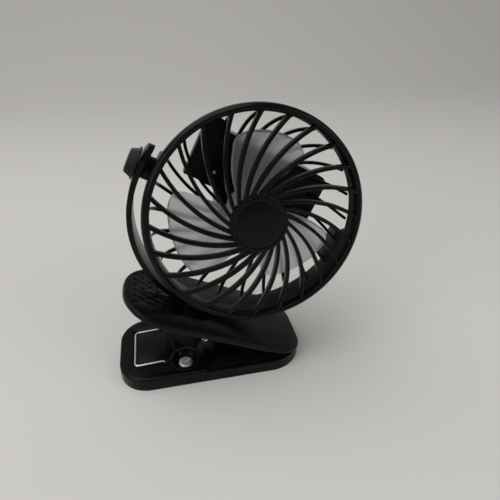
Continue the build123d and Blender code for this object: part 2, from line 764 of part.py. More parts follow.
def make_switch_body():
    """The push switch behind the power button."""
    y = (board_low + board_high) / 2
    z = board_z - board_thick
    body = block(button_x - 3, button_x + 3, y - 3, y + 3, z - 2.4, z)
    return body


def make_power_button():
    """The round button in the back of the pod."""
    y = (board_low + board_high) / 2
    low = board_z - board_thick - 2.4 - 0.1 - button_travel
    button = rod(button_r, pod_back - 1.6, low)
    button = chamfer(button.faces().sort_by(Axis.Z)[0].edges(), 0.4)
    button += rod(button_r + 0.5, pod_back + pod_wall + 0.1, low)
    return Pos(button_x, y, 0) * button


def make_status_lamp():
    """The small lamp that shows through the pod's front plate."""
    lamp = rod(1.0, pod_front - pod_plate - 0.2, pod_front + 0.1)
    lamp += rod(1.5, pod_front - pod_plate - 2.6, pod_front - pod_plate)
    return Pos(lamp_x, lamp_y, 0) * lamp


# ---------------------------------------------------------------- impeller
def blade_edge(radius, first, last, z0, z1):
    """A rising curve at one radius, along which the blade surface is ruled."""
    spots = []
    for i in range(7):
        t = i / 6
        x, y = polar(radius, first + (last - first) * t)
        spots.append((x, y, z0 + (z1 - z0) * t))
    return Spline(*spots).edge()


def make_blade():
    """One blade: a twisted sheet trimmed to its outline."""
    inner = blade_edge(10.0, -34, 62, blade_lead_z - 0.7, blade_trail_z + 0.7)
    outer = blade_edge(blade_r + 2.5, -41, 34, blade_lead_z - 0.7, blade_trail_z + 0.7)
    face = Face.make_surface_from_curves(inner, outer)
    sheet = thicken(face, blade_thick / 2, both=True)
    root = fan_hub_r - 1.0
    r = blade_r
    lead = Spline(polar(root, -26), polar(r * 0.53, -31), polar(r * 0.8, -33.5), polar(r - 1.5, -31))
    trail = Spline(polar(r - 1.5, 30), polar(r * 0.84, 33), polar(r * 0.62, 41),
                   polar(r * 0.44, 48), polar(root, 55))
    lead_corner = ThreePointArc(lead @ 1, polar(r - 0.3, -29.2), polar(blade_r, -25))
    tip = ThreePointArc(polar(blade_r, -25), polar(blade_r, 0), polar(blade_r, 24))
    trail_corner = ThreePointArc(polar(blade_r, 24), polar(r - 0.3, 28.2), trail @ 0)
    inside = ThreePointArc(trail @ 1, polar(root, 10), lead @ 0)
    outline = make_face(Wire([lead.edge(), lead_corner.edge(), tip.edge(), trail_corner.edge(),
                              trail.edge(), inside.edge()]))
    return sheet & (Pos(0, 0, -40) * extrude(outline, 60))


def make_impeller():
    """Hub cup and three twisted blades."""
    hub = rod(fan_hub_r, fan_hub_back, fan_hub_front)
    hub = fillet(hub.faces().sort_by(Axis.Z)[-1].edges(), 2.0)
    hub -= rod(fan_hub_r - 1.6, fan_hub_back - 1, fan_hub_front - 2)
    hub += rod(3.2, fan_hub_back + 2, fan_hub_front - 1)
    blade = make_blade()
    room = rod(fan_hub_r - 1.5, -40, fan_hub_front - 1.9)
    for i in range(blade_count):
        hub += Rot(0, 0, blade_centre + 360 / blade_count * i) * blade
    hub -= room - rod(3.2, fan_hub_back + 2, fan_hub_front - 1)
    return hub - rod(shaft_r, -60, -6)


# ---------------------------------------------------------------- writing the parts
def write(name, shape, at=None):
    """Place one node and write it as STEP."""
    pieces = shape if isinstance(shape, list) else [shape]
    solids = []
    for piece in pieces:
        placed = at * piece if at is not None else piece
        solids += list(placed.solids())
    out = solids[0] if len(solids) == 1 else Compound(children=solids)
    export_step(out, os.path.join("parts", name + ".step"))
    print(name, "solids", len(solids), "volume", round(sum(s.volume for s in solids), 1))


def main():
    """Build and write every node."""
    os.makedirs("parts", exist_ok=True)
    write("base_shell", make_base_shell())
    write("base_cover", make_base_cover())
    write("base_grip_pad", make_base_pad())
    write("base_screw", make_base_screw())
    write("hinge_pin", make_hinge_pin())
    write("torsion_spring", make_spring())
    write("lever_shell", make_lever_shell(), lever_at)
    write("lever_grip_pad", make_lever_pad(), lever_at)
    write("yoke", make_yoke(), yoke_at)
    write("swivel_screw", make_swivel_screw(), yoke_at)
    write("swivel_washer", make_swivel_washer(), yoke_at)
    write("knob_cap", make_knob_cap(), pivot_at)
    write("knob_stud", make_knob_stud(), pivot_at)
    write("pivot_nut", make_pivot_nut(), pivot_at)
    write("pivot_pin", make_pivot_pin(), pivot_at)
    write("front_grille", make_front_grille(), rim_at)
    write("head_drum", make_drum(), rim_at)
    write("rear_grille", make_rear_grille(), rim_at)
    write("rear_cover", make_rear_cover(), rim_at)
    write("housing_screws", make_housing_screws(), rim_at)
    write("motor_can", make_motor_can(), rim_at)
    write("motor_bushes", make_motor_bushes(), rim_at)
    write("motor_shaft", make_motor_shaft(), rim_at)
    write("motor_armature", make_motor_armature(), rim_at)
    write("battery", make_battery(), rim_at)
    write("battery_contacts", make_battery_contacts(), rim_at)
    write("circuit_board", make_circuit_board(), rim_at)
    write("usb_socket", make_usb_socket(), rim_at)
    write("switch_body", make_switch_body(), rim_at)
    write("power_button", make_power_button(), rim_at)
    write("status_lamp", make_status_lamp(), rim_at)
    write("impeller", make_impeller(), rim_at)


if __name__ == "__main__":
    main()
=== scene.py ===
"""Looks of the clip fan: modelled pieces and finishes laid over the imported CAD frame.

Lengths inside the builders are millimetres in each sub-assembly's own frame, and every
finished piece is written into the row frame in metres.
"""

import json
import logging
import math
from contextlib import contextmanager
from dataclasses import dataclass
from enum import Enum
from typing import Callable, Iterator, Sequence

import bmesh
import bpy
from mathutils import Matrix, Vector

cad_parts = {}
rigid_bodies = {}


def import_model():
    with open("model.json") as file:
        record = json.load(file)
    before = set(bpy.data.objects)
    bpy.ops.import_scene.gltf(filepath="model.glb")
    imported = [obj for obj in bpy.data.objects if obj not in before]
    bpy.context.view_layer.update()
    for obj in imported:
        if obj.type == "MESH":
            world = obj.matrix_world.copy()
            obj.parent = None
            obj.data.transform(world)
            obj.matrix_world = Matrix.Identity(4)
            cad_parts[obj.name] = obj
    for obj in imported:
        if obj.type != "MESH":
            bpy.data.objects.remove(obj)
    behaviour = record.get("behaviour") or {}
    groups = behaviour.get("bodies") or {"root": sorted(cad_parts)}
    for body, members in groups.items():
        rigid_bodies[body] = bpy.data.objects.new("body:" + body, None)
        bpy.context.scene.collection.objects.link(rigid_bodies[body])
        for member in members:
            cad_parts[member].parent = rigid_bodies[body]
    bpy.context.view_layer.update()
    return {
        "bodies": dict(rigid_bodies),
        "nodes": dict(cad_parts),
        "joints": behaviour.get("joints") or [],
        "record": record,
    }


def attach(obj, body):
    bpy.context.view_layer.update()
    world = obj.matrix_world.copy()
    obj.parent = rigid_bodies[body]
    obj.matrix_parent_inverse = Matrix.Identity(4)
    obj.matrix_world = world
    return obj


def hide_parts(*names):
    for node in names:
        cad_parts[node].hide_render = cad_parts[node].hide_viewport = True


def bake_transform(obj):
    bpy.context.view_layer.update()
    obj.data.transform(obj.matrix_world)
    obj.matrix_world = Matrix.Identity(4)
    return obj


LOG = logging.getLogger("clip_fan")
MM = 0.001
CORNER = 38.0  # moulded edges sharper than this are rounded, in degrees
CRISP = 40.0  # edges of ribs and rims sharper than this stay crisp, in degrees
ROUND = 96  # sides of a large turned piece
HOOP = 192  # sides of the widest hoops

Piece = bpy.types.Object
Socket = bpy.types.NodeSocket
Feeds = dict[str | int, object]
Point = tuple[float, float]
Triple = tuple[float, float, float]
Outline = list[Point]


def turned(degrees: float, axis: str) -> Matrix:
    """Return a rotation about a main axis."""
    return Matrix.Rotation(math.radians(degrees), 4, axis)


def moved(x: float, y: float, z: float) -> Matrix:
    """Return a shift in millimetres."""
    return Matrix.Translation((x, y, z))


def polar(radius: float, degrees: float) -> Point:
    """Return the plan point at a radius and an angle."""
    a = math.radians(degrees)
    return radius * math.cos(a), radius * math.sin(a)


def arc(cx: float, cy: float, r: float, first: float, last: float, steps: int) -> Outline:
    """Return points on an arc about (cx, cy), from one angle to another in degrees."""
    spots = [polar(r, first + (last - first) * i / steps) for i in range(steps + 1)]
    return [(cx + x, cy + y) for x, y in spots]


def rounded_outline(length: float, width: float, r_left: float, r_right: float,
                    inset: float = 0.0, steps: int = 14) -> Outline:
    """Return a centred rectangle with one corner radius at each end.

    Args:
        length: size along X.
        width: size along Y.
        r_left: corner radius at the -X end.
        r_right: corner radius at the +X end.
        inset: how far the outline is drawn in.
        steps: segments in each corner.

    Returns:
        Points in order, counter-clockwise.
    """
    half_x, half_y = length / 2 - inset, width / 2 - inset
    points: Outline = []
    for sx, sy, radius, start in ((1, 1, r_right, 0), (-1, 1, r_left, 90),
                                  (-1, -1, r_left, 180), (1, -1, r_right, 270)):
        r = radius - inset
        points += arc(sx * (half_x - r), sy * (half_y - r), r, start, start + 90, steps)
    return points


@dataclass(frozen=True)
class Stance:
    """How the fan stands: the angles and places that link its frames, in millimetres."""

    tip: Point = (55.0, 8.25)
    hinge: Point = (8.0, 17.5)
    bail: Point = (-46.0, 14.5)
    lever_tilt: float = 25.35
    swivel_back: float = 66.88
    seat_rise: float = 0.8
    seat_tilt: float = 2.8
    swivel_turn: float = -2.7
    pivot_height: float = 65.45
    head_tilt: float = 6.9
    rim_forward: float = 16.1

    def base(self) -> Matrix:
        """Frame of the clip base, on the row's origin."""
        return Matrix.Identity(4)

    def lever(self) -> Matrix:
        """Frame of the lever: origin at the jaw tip, on the top skin."""
        return moved(self.tip[0], 0, self.tip[1]) @ turned(self.lever_tilt, "Y")

    def seat(self) -> Matrix:
        """Frame of the swivel seat, seen from the lever's own frame."""
        return moved(-self.swivel_back, 0, self.seat_rise) @ turned(self.seat_tilt, "Y")

    def yoke(self) -> Matrix:
        """Frame of the yoke: origin where the swivel axis meets its seat on the lever."""
        return self.lever() @ self.seat() @ turned(self.swivel_turn, "Z")

    def pivot(self) -> Matrix:
        """Frame of the tilt pivot: X along the pivot, Z to the front of the head."""
        return self.yoke() @ moved(0, 0, self.pivot_height) @ turned(90 - self.head_tilt, "X")

    def rim(self) -> Matrix:
        """Frame of the head's front rim."""
        return self.pivot() @ moved(0, 0, self.rim_forward)


class Body(Enum):
    """The rigid bodies that modelled pieces ride on."""

    BASE = "base"
    LEVER = "lever"
    YOKE = "yoke"
    KNOB = "tilt_knob"
    HEAD = "head"
    ROTOR = "rotor"


# ---- finishes
class Graph:
    """A short hand for adding, filling and linking shader nodes."""

    def __init__(self, tree: bpy.types.NodeTree) -> None:
        """Keep the tree to draw in."""
        self.tree = tree
        self.column = 0

    def fill(self, node: bpy.types.Node, feeds: Feeds) -> None:
        """Set or link the inputs of a node.

        Args:
            node: the node.
            feeds: input name or number to a value, or to the socket that drives it.
        """
        for key, value in feeds.items():
            if isinstance(value, Socket):
                self.tree.links.new(value, node.inputs[key])
            else:
                node.inputs[key].default_value = value

    def add(self, kind: str, feeds: Feeds, **settings: object) -> bpy.types.Node:
        """Add a node.

        Args:
            kind: node type, without the ShaderNode before it.
            feeds: what goes into its inputs, as for fill.
            settings: its own properties.

        Returns:
            The new node.
        """
        node = self.tree.nodes.new(kind if kind.startswith("NodeGroup") else "ShaderNode" + kind)
        node.location = (self.column, 0)
        self.column += 180
        for key, value in settings.items():
            setattr(node, key, value)
        self.fill(node, feeds)
        return node

    def noise(self, vector: Socket, scale: object, detail: float, rough: float) -> Socket:
        """Return the value of a new noise."""
        feeds = {"Vector": vector, "Scale": scale, "Detail": detail, "Roughness": rough}
        return self.add("TexNoise", feeds).outputs["Fac"]

    def span(self, value: Socket, low: float, high: float, to_low: float = 0.0,
             to_high: float = 1.0) -> Socket:
        """Return a value carried from one range to another."""
        feeds = {"Value": value, "From Min": low, "From Max": high, "To Min": to_low,
                 "To Max": to_high}
        return self.add("MapRange", feeds).outputs["Result"]

    def calc(self, operation: str, *values: object) -> Socket:
        """Return the result of a new math node."""
        return self.add("Math", dict(enumerate(values)), operation=operation).outputs[0]

    def mix(self, factor: object, first: object, second: object, blend: str = "MIX") -> Socket:
        """Return the blend of two colours."""
        feeds = {"Factor": factor, 6: first, 7: second}
        return self.add("Mix", feeds, data_type="RGBA", blend_type=blend).outputs[2]


class Paintbox:
    """Builds the shared effects once, and the materials that use them."""

    def __init__(self) -> None:
        """Make the two shared effect groups."""
        self.made: dict[str, bpy.types.Material] = {}
        self.moulding = self._moulding()
        self.plating = self._plating()

    @staticmethod
    def _open(name: str, *sliders: str) -> tuple[Graph, bpy.types.NodeOutputs]:
        """Start an effect group with colour, roughness and height outputs.

        Args:
            name: group name.
            sliders: its number inputs, besides vector, colour and roughness.

        Returns:
            The group's graph, and the sockets that bring its inputs in.
        """
        tree = bpy.data.node_groups.new(name, "ShaderNodeTree")
        kinds = {"Vector": "NodeSocketVector", "Color": "NodeSocketColor"}
        for side, names in (("INPUT", ("Vector", "Color", "Roughness", *sliders)),
                            ("OUTPUT", ("Color", "Roughness", "Height"))):
            for socket in names:
                kind = kinds.get(socket, "NodeSocketFloat")
                tree.interface.new_socket(socket, in_out=side, socket_type=kind)
        g = Graph(tree)
        return g, g.add("NodeGroupInput", {}).outputs

    def _moulding(self) -> bpy.types.NodeTree:
        """Return the moulded-surface effect: spark grain, mottled gloss and settled dust."""
        g, ins = self._open("moulded_surface", "Spread", "Grain", "Mottle", "Dust")
        grain = g.noise(ins["Vector"], ins["Grain"], 2.0, 0.55)
        cloud = g.span(g.noise(ins["Vector"], 55.0, 3.0, 0.6), 0.3, 0.7, -1.0, 1.0)
        rough = g.calc("MULTIPLY_ADD", cloud, ins["Spread"], ins["Roughness"])
        lift = g.calc("MULTIPLY_ADD", cloud, ins["Mottle"], 1.0)
        tone = g.mix(1.0, ins["Color"], lift, "MULTIPLY")
        speck = g.span(g.noise(ins["Vector"], 900.0, 4.0, 0.7), 0.52, 0.8)
        fall = g.calc("MULTIPLY", speck, ins["Dust"])
        dusty = g.mix(fall, tone, (0.36, 0.35, 0.33, 1.0))
        g.add("NodeGroupOutput", {"Color": dusty, "Roughness": rough, "Height": grain})
        return g.tree

    def _plating(self) -> bpy.types.NodeTree:
        """Return the metal effect: fine drawn scratches and faint stains."""
        g, ins = self._open("drawn_metal", "Scratch", "Stain")
        line = g.noise(ins["Vector"], 1800.0, 3.0, 0.6)
        blot = g.span(g.noise(ins["Vector"], 240.0, 4.0, 0.6), 0.5, 0.75)
        rough = g.calc("MULTIPLY_ADD", line, ins["Scratch"], ins["Roughness"])
        tone = g.mix(g.calc("MULTIPLY", blot, ins["Stain"]), ins["Color"], (0.16, 0.14, 0.12, 1.0))
        g.add("NodeGroupOutput", {"Color": tone, "Roughness": rough, "Height": line})
        return g.tree

    @staticmethod
    def skin(g: Graph, group: bpy.types.NodeTree, bump: Point, feeds: Feeds) -> Feeds:
        """Lay an effect group under a shader.

        Args:
            g: graph of the material.
            group: the effect.
            bump: strength and depth of its relief, in metres.
            feeds: what goes into the group.

        Returns:
            What the group gives the shader.
        """
        out = g.add("Group", feeds, node_tree=group).outputs
        relief = g.add("Bump", {"Strength": bump[0], "Distance": bump[1], "Height": out["Height"]})
        return {"Base Color": out["Color"], "Roughness": out["Roughness"],
                "Normal": relief.outputs["Normal"]}

    def of(self, finish: "Finish") -> bpy.types.Material:
        """Return the material of a finish, built on first use."""
        if finish.name not in self.made:
            material = bpy.data.materials.new(finish.name)
            material.use_nodes = True
            material.node_tree.nodes.clear()
            g = Graph(material.node_tree)
            shader = g.add("BsdfPrincipled", {})
            g.add("OutputMaterial", {"Surface": shader.outputs["BSDF"]})
            g.fill(shader, finish.feeds(self, g, g.add("TexCoord", {}).outputs["Object"]))
            self.made[finish.name] = material
        return self.made[finish.name]


@dataclass(frozen=True)
class Finish:
    """What every finish has, and what its material takes from it."""

    name: str
    color: Triple
    roughness: float

    def feeds(self, paint: Paintbox, g: Graph, spot: Socket) -> Feeds:
        """Draw the finish's nodes and return what they feed the shader."""
        raise NotImplementedError


@dataclass(frozen=True)
class Plastic(Finish):
    """A moulded plastic or rubber finish, with its grain in millimetres."""

    spread: float = 0.08
    grain_size: float = 0.35
    grain_depth: float = 0.02
    mottle: float = 0.12
    dust: float = 0.02
    specular: float = 0.5
    clear: float = 0.0

    def feeds(self, paint: Paintbox, g: Graph, spot: Socket) -> Feeds:
        """Draw grain, mottled gloss and dust over the colour."""
        group = {"Vector": spot, "Color": (*self.color, 1.0), "Roughness": self.roughness,
                 "Spread": self.spread, "Grain": 1.0 / (self.grain_size * MM),
                 "Mottle": self.mottle, "Dust": self.dust}
        return {**paint.skin(g, paint.moulding, (0.35, self.grain_depth * MM), group),
                "Specular IOR Level": self.specular, "Transmission Weight": self.clear}


@dataclass(frozen=True)
class Metal(Finish):
    """A bare, plated or brushed metal finish."""

    scratch: float = 0.04
    stretch: float = 6.0
    stain: float = 0.06

    def feeds(self, paint: Paintbox, g: Graph, spot: Socket) -> Feeds:
        """Draw scratches and stains over the metal."""
        spread = g.add("Mapping", {"Vector": spot, "Scale": (1.0, 1.0, self.stretch)})
        group = {"Vector": spread.outputs["Vector"], "Color": (*self.color, 1.0),
                 "Roughness": self.roughness, "Scratch": self.scratch, "Stain": self.stain}
        return {**paint.skin(g, paint.plating, (0.2, 0.01 * MM), group), "Metallic": 1.0}


@dataclass(frozen=True)
class Lens(Finish):
    """A clear lamp lens with a faint tint and flow marks."""

    flow: float = 0.12
    clear: float = 0.5

    def feeds(self, paint: Paintbox, g: Graph, spot: Socket) -> Feeds:
        """Draw flow marks in the gloss."""
        marks = g.span(g.noise(spot, 900.0, 2.0, 0.5), 0.0, 1.0, self.roughness,
                       self.roughness + self.flow)
        return {"Base Color": (*self.color, 1.0), "Roughness": marks,
                "Transmission Weight": self.clear}


SATIN_BLACK = Plastic("satin_black_shell", (0.0030, 0.0030, 0.0040), 0.30, 0.05, 0.45, 0.012,
                      dust=0.006, specular=0.16)
SMOOTH_BLACK = Plastic("smooth_black_moulding", (0.0022, 0.0022, 0.0030), 0.25, 0.05, 0.6, 0.006,
                       dust=0.004, specular=0.16)
DRUM_BLACK = Plastic("drum_black_moulding", (0.0020, 0.0020, 0.0027), 0.32, 0.05, 0.6, 0.008,
                     dust=0.003, specular=0.14)
KNOB_BLACK = Plastic("knob_black", (0.0045, 0.0045, 0.0058), 0.30, 0.05, 0.4, 0.008,
                     dust=0.005, specular=0.18)
PAD_RUBBER = Plastic("pad_rubber", (0.0030, 0.0030, 0.0038), 0.62, 0.08, 0.3, 0.05, 0.2, 0.012,
                     specular=0.15)
SMOKE_BLADE = Plastic("smoke_blade", (0.78, 0.78, 0.79), 0.34, 0.05, 1.2, 0.004, 0.03, 0.0,
                      clear=0.82)
SLEEVE_BLUE = Plastic("cell_sleeve", (0.05, 0.16, 0.36), 0.30, 0.05, 0.8, 0.01, 0.05, 0.0)
BOARD_GREEN = Plastic("board_green", (0.012, 0.10, 0.035), 0.35, 0.05, 0.5, 0.02, 0.15, 0.0)
CORE_BROWN = Plastic("varnished_core", (0.10, 0.05, 0.025), 0.35, 0.08, 0.5, 0.03, 0.25, 0.0)
BRIGHT_WIRE = Metal("bright_wire", (0.90, 0.89, 0.88), 0.34, 0.08, 3.0, 0.03)
BRIGHT_SCREW = Metal("bright_screw", (0.92, 0.91, 0.90), 0.42, 0.08, 1.0, 0.03)
PLAIN_STEEL = Metal("plain_steel", (0.55, 0.55, 0.54), 0.30, 0.10, 5.0, 0.15)
SPRING_STEEL = Metal("nickel_strip", (0.62, 0.60, 0.55), 0.28, 0.08, 4.0, 0.08)
BRONZE = Metal("oiled_bronze", (0.60, 0.38, 0.16), 0.35, 0.10, 2.0, 0.2)
LAMP_LENS = Lens("lamp_lens", (0.85, 0.88, 0.90), 0.08)


# ---- workbench
class Bench:
    """Modelling moves that every sub-assembly shares. Lengths are millimetres."""

    @staticmethod
    def deselect() -> None:
        """Leave nothing selected."""
        bpy.context.view_layer.update()
        bpy.ops.object.select_all(action="DESELECT")

    @staticmethod
    def only(obj: Piece) -> None:
        """Select one object and make it active."""
        Bench.deselect()
        obj.select_set(True)
        bpy.context.view_layer.objects.active = obj

    @staticmethod
    def mark(whole: bool) -> None:
        """Select all or nothing of the open mesh."""
        bpy.ops.mesh.select_all(action="SELECT" if whole else "DESELECT")

    @staticmethod
    @contextmanager
    def edit(obj: Piece, mode: str = "VERT", whole: bool = False) -> Iterator[None]:
        """Open an object in edit mode.

        Args:
            obj: the mesh object.
            mode: VERT, EDGE or FACE.
            whole: start with all of it selected, and not with nothing.
        """
        Bench.only(obj)
        bpy.ops.object.mode_set(mode="EDIT")
        bpy.ops.mesh.select_mode(type=mode)
        Bench.mark(whole)
        yield
        bpy.ops.object.mode_set(mode="OBJECT")

    @staticmethod
    def pick(obj: Piece, kind: str, test: Callable[[Vector, Vector], bool]) -> None:
        """Select only those vertices, edges or faces of the open mesh that pass a test.

        Args:
            obj: the mesh object, in edit mode.
            kind: "verts", "edges" or "faces".
            test: takes a middle point and a normal (or edge direction).
        """
        Bench.mark(False)
        mesh = bmesh.from_edit_mesh(obj.data)
        mesh.normal_update()
        for item in getattr(mesh, kind):
            if kind == "verts":
                chosen = test(item.co, item.normal)
            elif kind == "edges":
                first, last = item.verts[0].co, item.verts[1].co
                chosen = test((first + last) / 2, (last - first).normalized())
            else:
                chosen = test(item.calc_center_median(), item.normal)
            if chosen:
                item.select_set(True)
        mesh.select_flush_mode()
        bmesh.update_edit_mesh(obj.data)

    @staticmethod
    def named(name: str) -> Piece:
        """Name the object that was just added and return it."""
        obj = bpy.context.view_layer.objects.active
        obj.name = name
        obj.data.name = name
        return obj

    @staticmethod
    def tidy(obj: Piece, join: float = 0.0005) -> None:
        """Merge doubles and point every face outwards."""
        with Bench.edit(obj, whole=True):
            bpy.ops.mesh.remove_doubles(threshold=join)
            bpy.ops.mesh.normals_make_consistent(inside=False)

    @staticmethod
    def circle(name: str, sides: int, radius: float, fill: str) -> Piece:
        """Add a circle on the origin."""
        Bench.deselect()
        bpy.ops.mesh.primitive_circle_add(vertices=sides, radius=radius, location=(0, 0, 0),
                                          fill_type=fill)
        return Bench.named(name)

    @staticmethod
    def lathe(name: str, profile: Sequence[Point], sides: int = ROUND,
              closed: bool = False) -> Piece:
        """Turn a profile about Z by extruding and resizing a circle, ring by ring.

        Args:
            name: piece name.
            profile: (radius, height) points. A radius of zero closes a pole.
            sides: points round the circle.
            closed: join the last ring to the first, for a hoop.

        Returns:
            The turned object.
        """
        point = 0.01
        (radius, height), pole_first = profile[0], profile[0][0] == 0
        radius = radius or point
        obj = Bench.circle(name, sides, radius, "NOTHING")
        with Bench.edit(obj, whole=True):
            bpy.ops.transform.translate(value=(0, 0, height))
            if pole_first:
                bpy.ops.mesh.edge_face_add()
                Bench.pick(obj, "verts", lambda c, n: True)
            for next_radius, next_height in profile[1:]:
                shown = max(next_radius, point)
                if pole_first:
                    bpy.ops.mesh.extrude_region_move()
                else:
                    bpy.ops.mesh.extrude_edges_move()
                ratio = shown / radius
                bpy.ops.transform.resize(value=(ratio, ratio, 1), center_override=(0, 0, height))
                bpy.ops.transform.translate(value=(0, 0, next_height - height))
                radius, height = shown, next_height
            if profile[-1][0] == 0 and not pole_first:
                bpy.ops.mesh.edge_face_add()
            if closed:
                Bench.mark(False)
                bpy.ops.mesh.select_non_manifold()
                bpy.ops.mesh.bridge_edge_loops()
        Bench.tidy(obj)
        return obj

    @staticmethod
    def prism(name: str, outline: Sequence[Point], low: float, high: float) -> Piece:
        """Extrude a plan outline along Z.

        Args:
            name: piece name.
            outline: (x, y) points in order.
            low: height of the bottom.
            high: height of the top.

        Returns:
            The closed prism.
        """
        obj = Bench.circle(name, len(outline), 1.0, "NGON")
        for vertex, (x, y) in zip(obj.data.vertices, outline):
            vertex.co = (x, y, low)
        with Bench.edit(obj, "FACE", True):
            bpy.ops.mesh.extrude_region_move(TRANSFORM_OT_translate={"value": (0, 0, high - low)})
            Bench.mark(True)
            bpy.ops.mesh.normals_make_consistent(inside=False)
        return obj

    @staticmethod
    def block(name: str, x: Point, y: Point, z: Point) -> Piece:
        """Return a box given by its low and high side on each axis."""
        outline = [(x[0], y[0]), (x[1], y[0]), (x[1], y[1]), (x[0], y[1])]
        return Bench.prism(name, outline, z[0], z[1])

    @staticmethod
    def rod(name: str, radius: float, low: float, high: float, sides: int = 48) -> Piece:
        """Return a closed round bar along Z."""
        angles = [2 * math.pi * i / sides for i in range(sides)]
        circle = [(radius * math.cos(a), radius * math.sin(a)) for a in angles]
        return Bench.prism(name, circle, low, high)

    @staticmethod
    def plate(name: str, outline: Outline, faces: Point, side: int) -> Piece:
        """Stand up a soft-edged plate beside the middle of the clip.

        Args:
            name: piece name.
            outline: (x, z) points in order.
            faces: how far its two faces lie from the middle.
            side: -1 for the front, 1 for the back.

        Returns:
            The plate.
        """
        plate = Bench.prism(name, outline, *faces)
        Bench.soften(plate, 0.3)
        Bench.move(plate, turned(90, "X"))
        if side > 0:
            Bench.move(plate, Matrix.Scale(-1, 4, (0, 1, 0)))
            Bench.tidy(plate)
        return plate

    @staticmethod
    def move(obj: Piece, matrix: Matrix) -> Piece:
        """Move a mesh inside its object, and return the object."""
        obj.data.transform(matrix)
        obj.data.update()
        return obj

    @staticmethod
    def modify(obj: Piece, kind: str, **settings: object) -> None:
        """Add a modifier with its settings, and apply it."""
        Bench.only(obj)
        step = obj.modifiers.new(kind.lower(), kind)
        for key, value in settings.items():
            setattr(step, key, value)
        bpy.ops.object.modifier_apply(modifier=step.name)

    @staticmethod
    def carve(target: Piece, *tools: Piece, how: str = "DIFFERENCE") -> None:
        """Apply booleans one by one and throw the tools away.

        Args:
            target: object to change.
            tools: cutters or additions.
            how: DIFFERENCE, UNION or INTERSECT.
        """
        for tool in tools:
            Bench.modify(target, "BOOLEAN", operation=how, solver="EXACT", object=tool)
            bpy.data.objects.remove(tool)

    @staticmethod
    def soften(obj: Piece, width: float, angle: float = CORNER, segments: int = 2) -> None:
        """Round the edges that are sharper than an angle in degrees."""
        Bench.modify(obj, "BEVEL", width=width, segments=segments, limit_method="ANGLE",
                     angle_limit=math.radians(angle), use_clamp_overlap=True,
                     miter_outer="MITER_ARC")

    @staticmethod
    def bevel(obj: Piece, width: float, segments: int,
              test: Callable[[Vector, Vector], bool]) -> None:
        """Round the edges that pass a test, as for pick."""
        with Bench.edit(obj, "EDGE"):
            Bench.pick(obj, "edges", test)
            bpy.ops.mesh.bevel(offset=width, segments=segments, affect="EDGES")

    @staticmethod
    def copies(obj: Piece, count: int) -> list[Piece]:
        """Return the object and its copies turned evenly about Z, each with its own mesh."""
        made = [obj]
        for i in range(1, count):
            twin = obj.copy()
            twin.data = obj.data.copy()
            bpy.context.scene.collection.objects.link(twin)
            made.append(Bench.move(twin, turned(360.0 * i / count, "Z")))
        return made

    @staticmethod
    def join(name: str, parts: Sequence[Piece]) -> Piece:
        """Join several objects into the first."""
        Bench.deselect()
        for part in parts:
            part.select_set(True)
        bpy.context.view_layer.objects.active = parts[0]
        bpy.ops.object.join()
        return Bench.named(name)


@dataclass
class Assembly:
    """Pieces that share their sizes, are built together and ride on the frame's bodies."""

    stance: Stance
    paint: Paintbox

    def build(self) -> None:
        """Build and place the pieces."""
        raise NotImplementedError

    def place(self, obj: Piece, frame: Matrix, body: Body, node: str, finish: Finish,
              angle: float = 32.0, rigid: bool = True) -> None:
        """Place, shade and dress a piece, and hide the CAD node it stands for.

        Args:
            obj: the piece, in its sub-assembly's frame in millimetres.
            frame: that frame, in the row frame in millimetres.
            body: the body it rides on.
            node: the CAD node it stands for, which it hides.
            finish: its finish.
            angle: edges sharper than this stay crisp, in degrees.
            rigid: whether the whole piece follows the one body.
        """
        Bench.move(obj, Matrix.Scale(MM, 4) @ frame)
        obj.data.materials.clear()
        obj.data.materials.append(self.paint.of(finish))
        Bench.only(obj)
        bpy.ops.object.shade_smooth_by_angle(angle=math.radians(angle))
        if rigid:
            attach(obj, body.value)
        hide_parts(node)
        LOG.info("%s: %d faces, rides on %s", obj.name, len(obj.data.polygons), body.value)


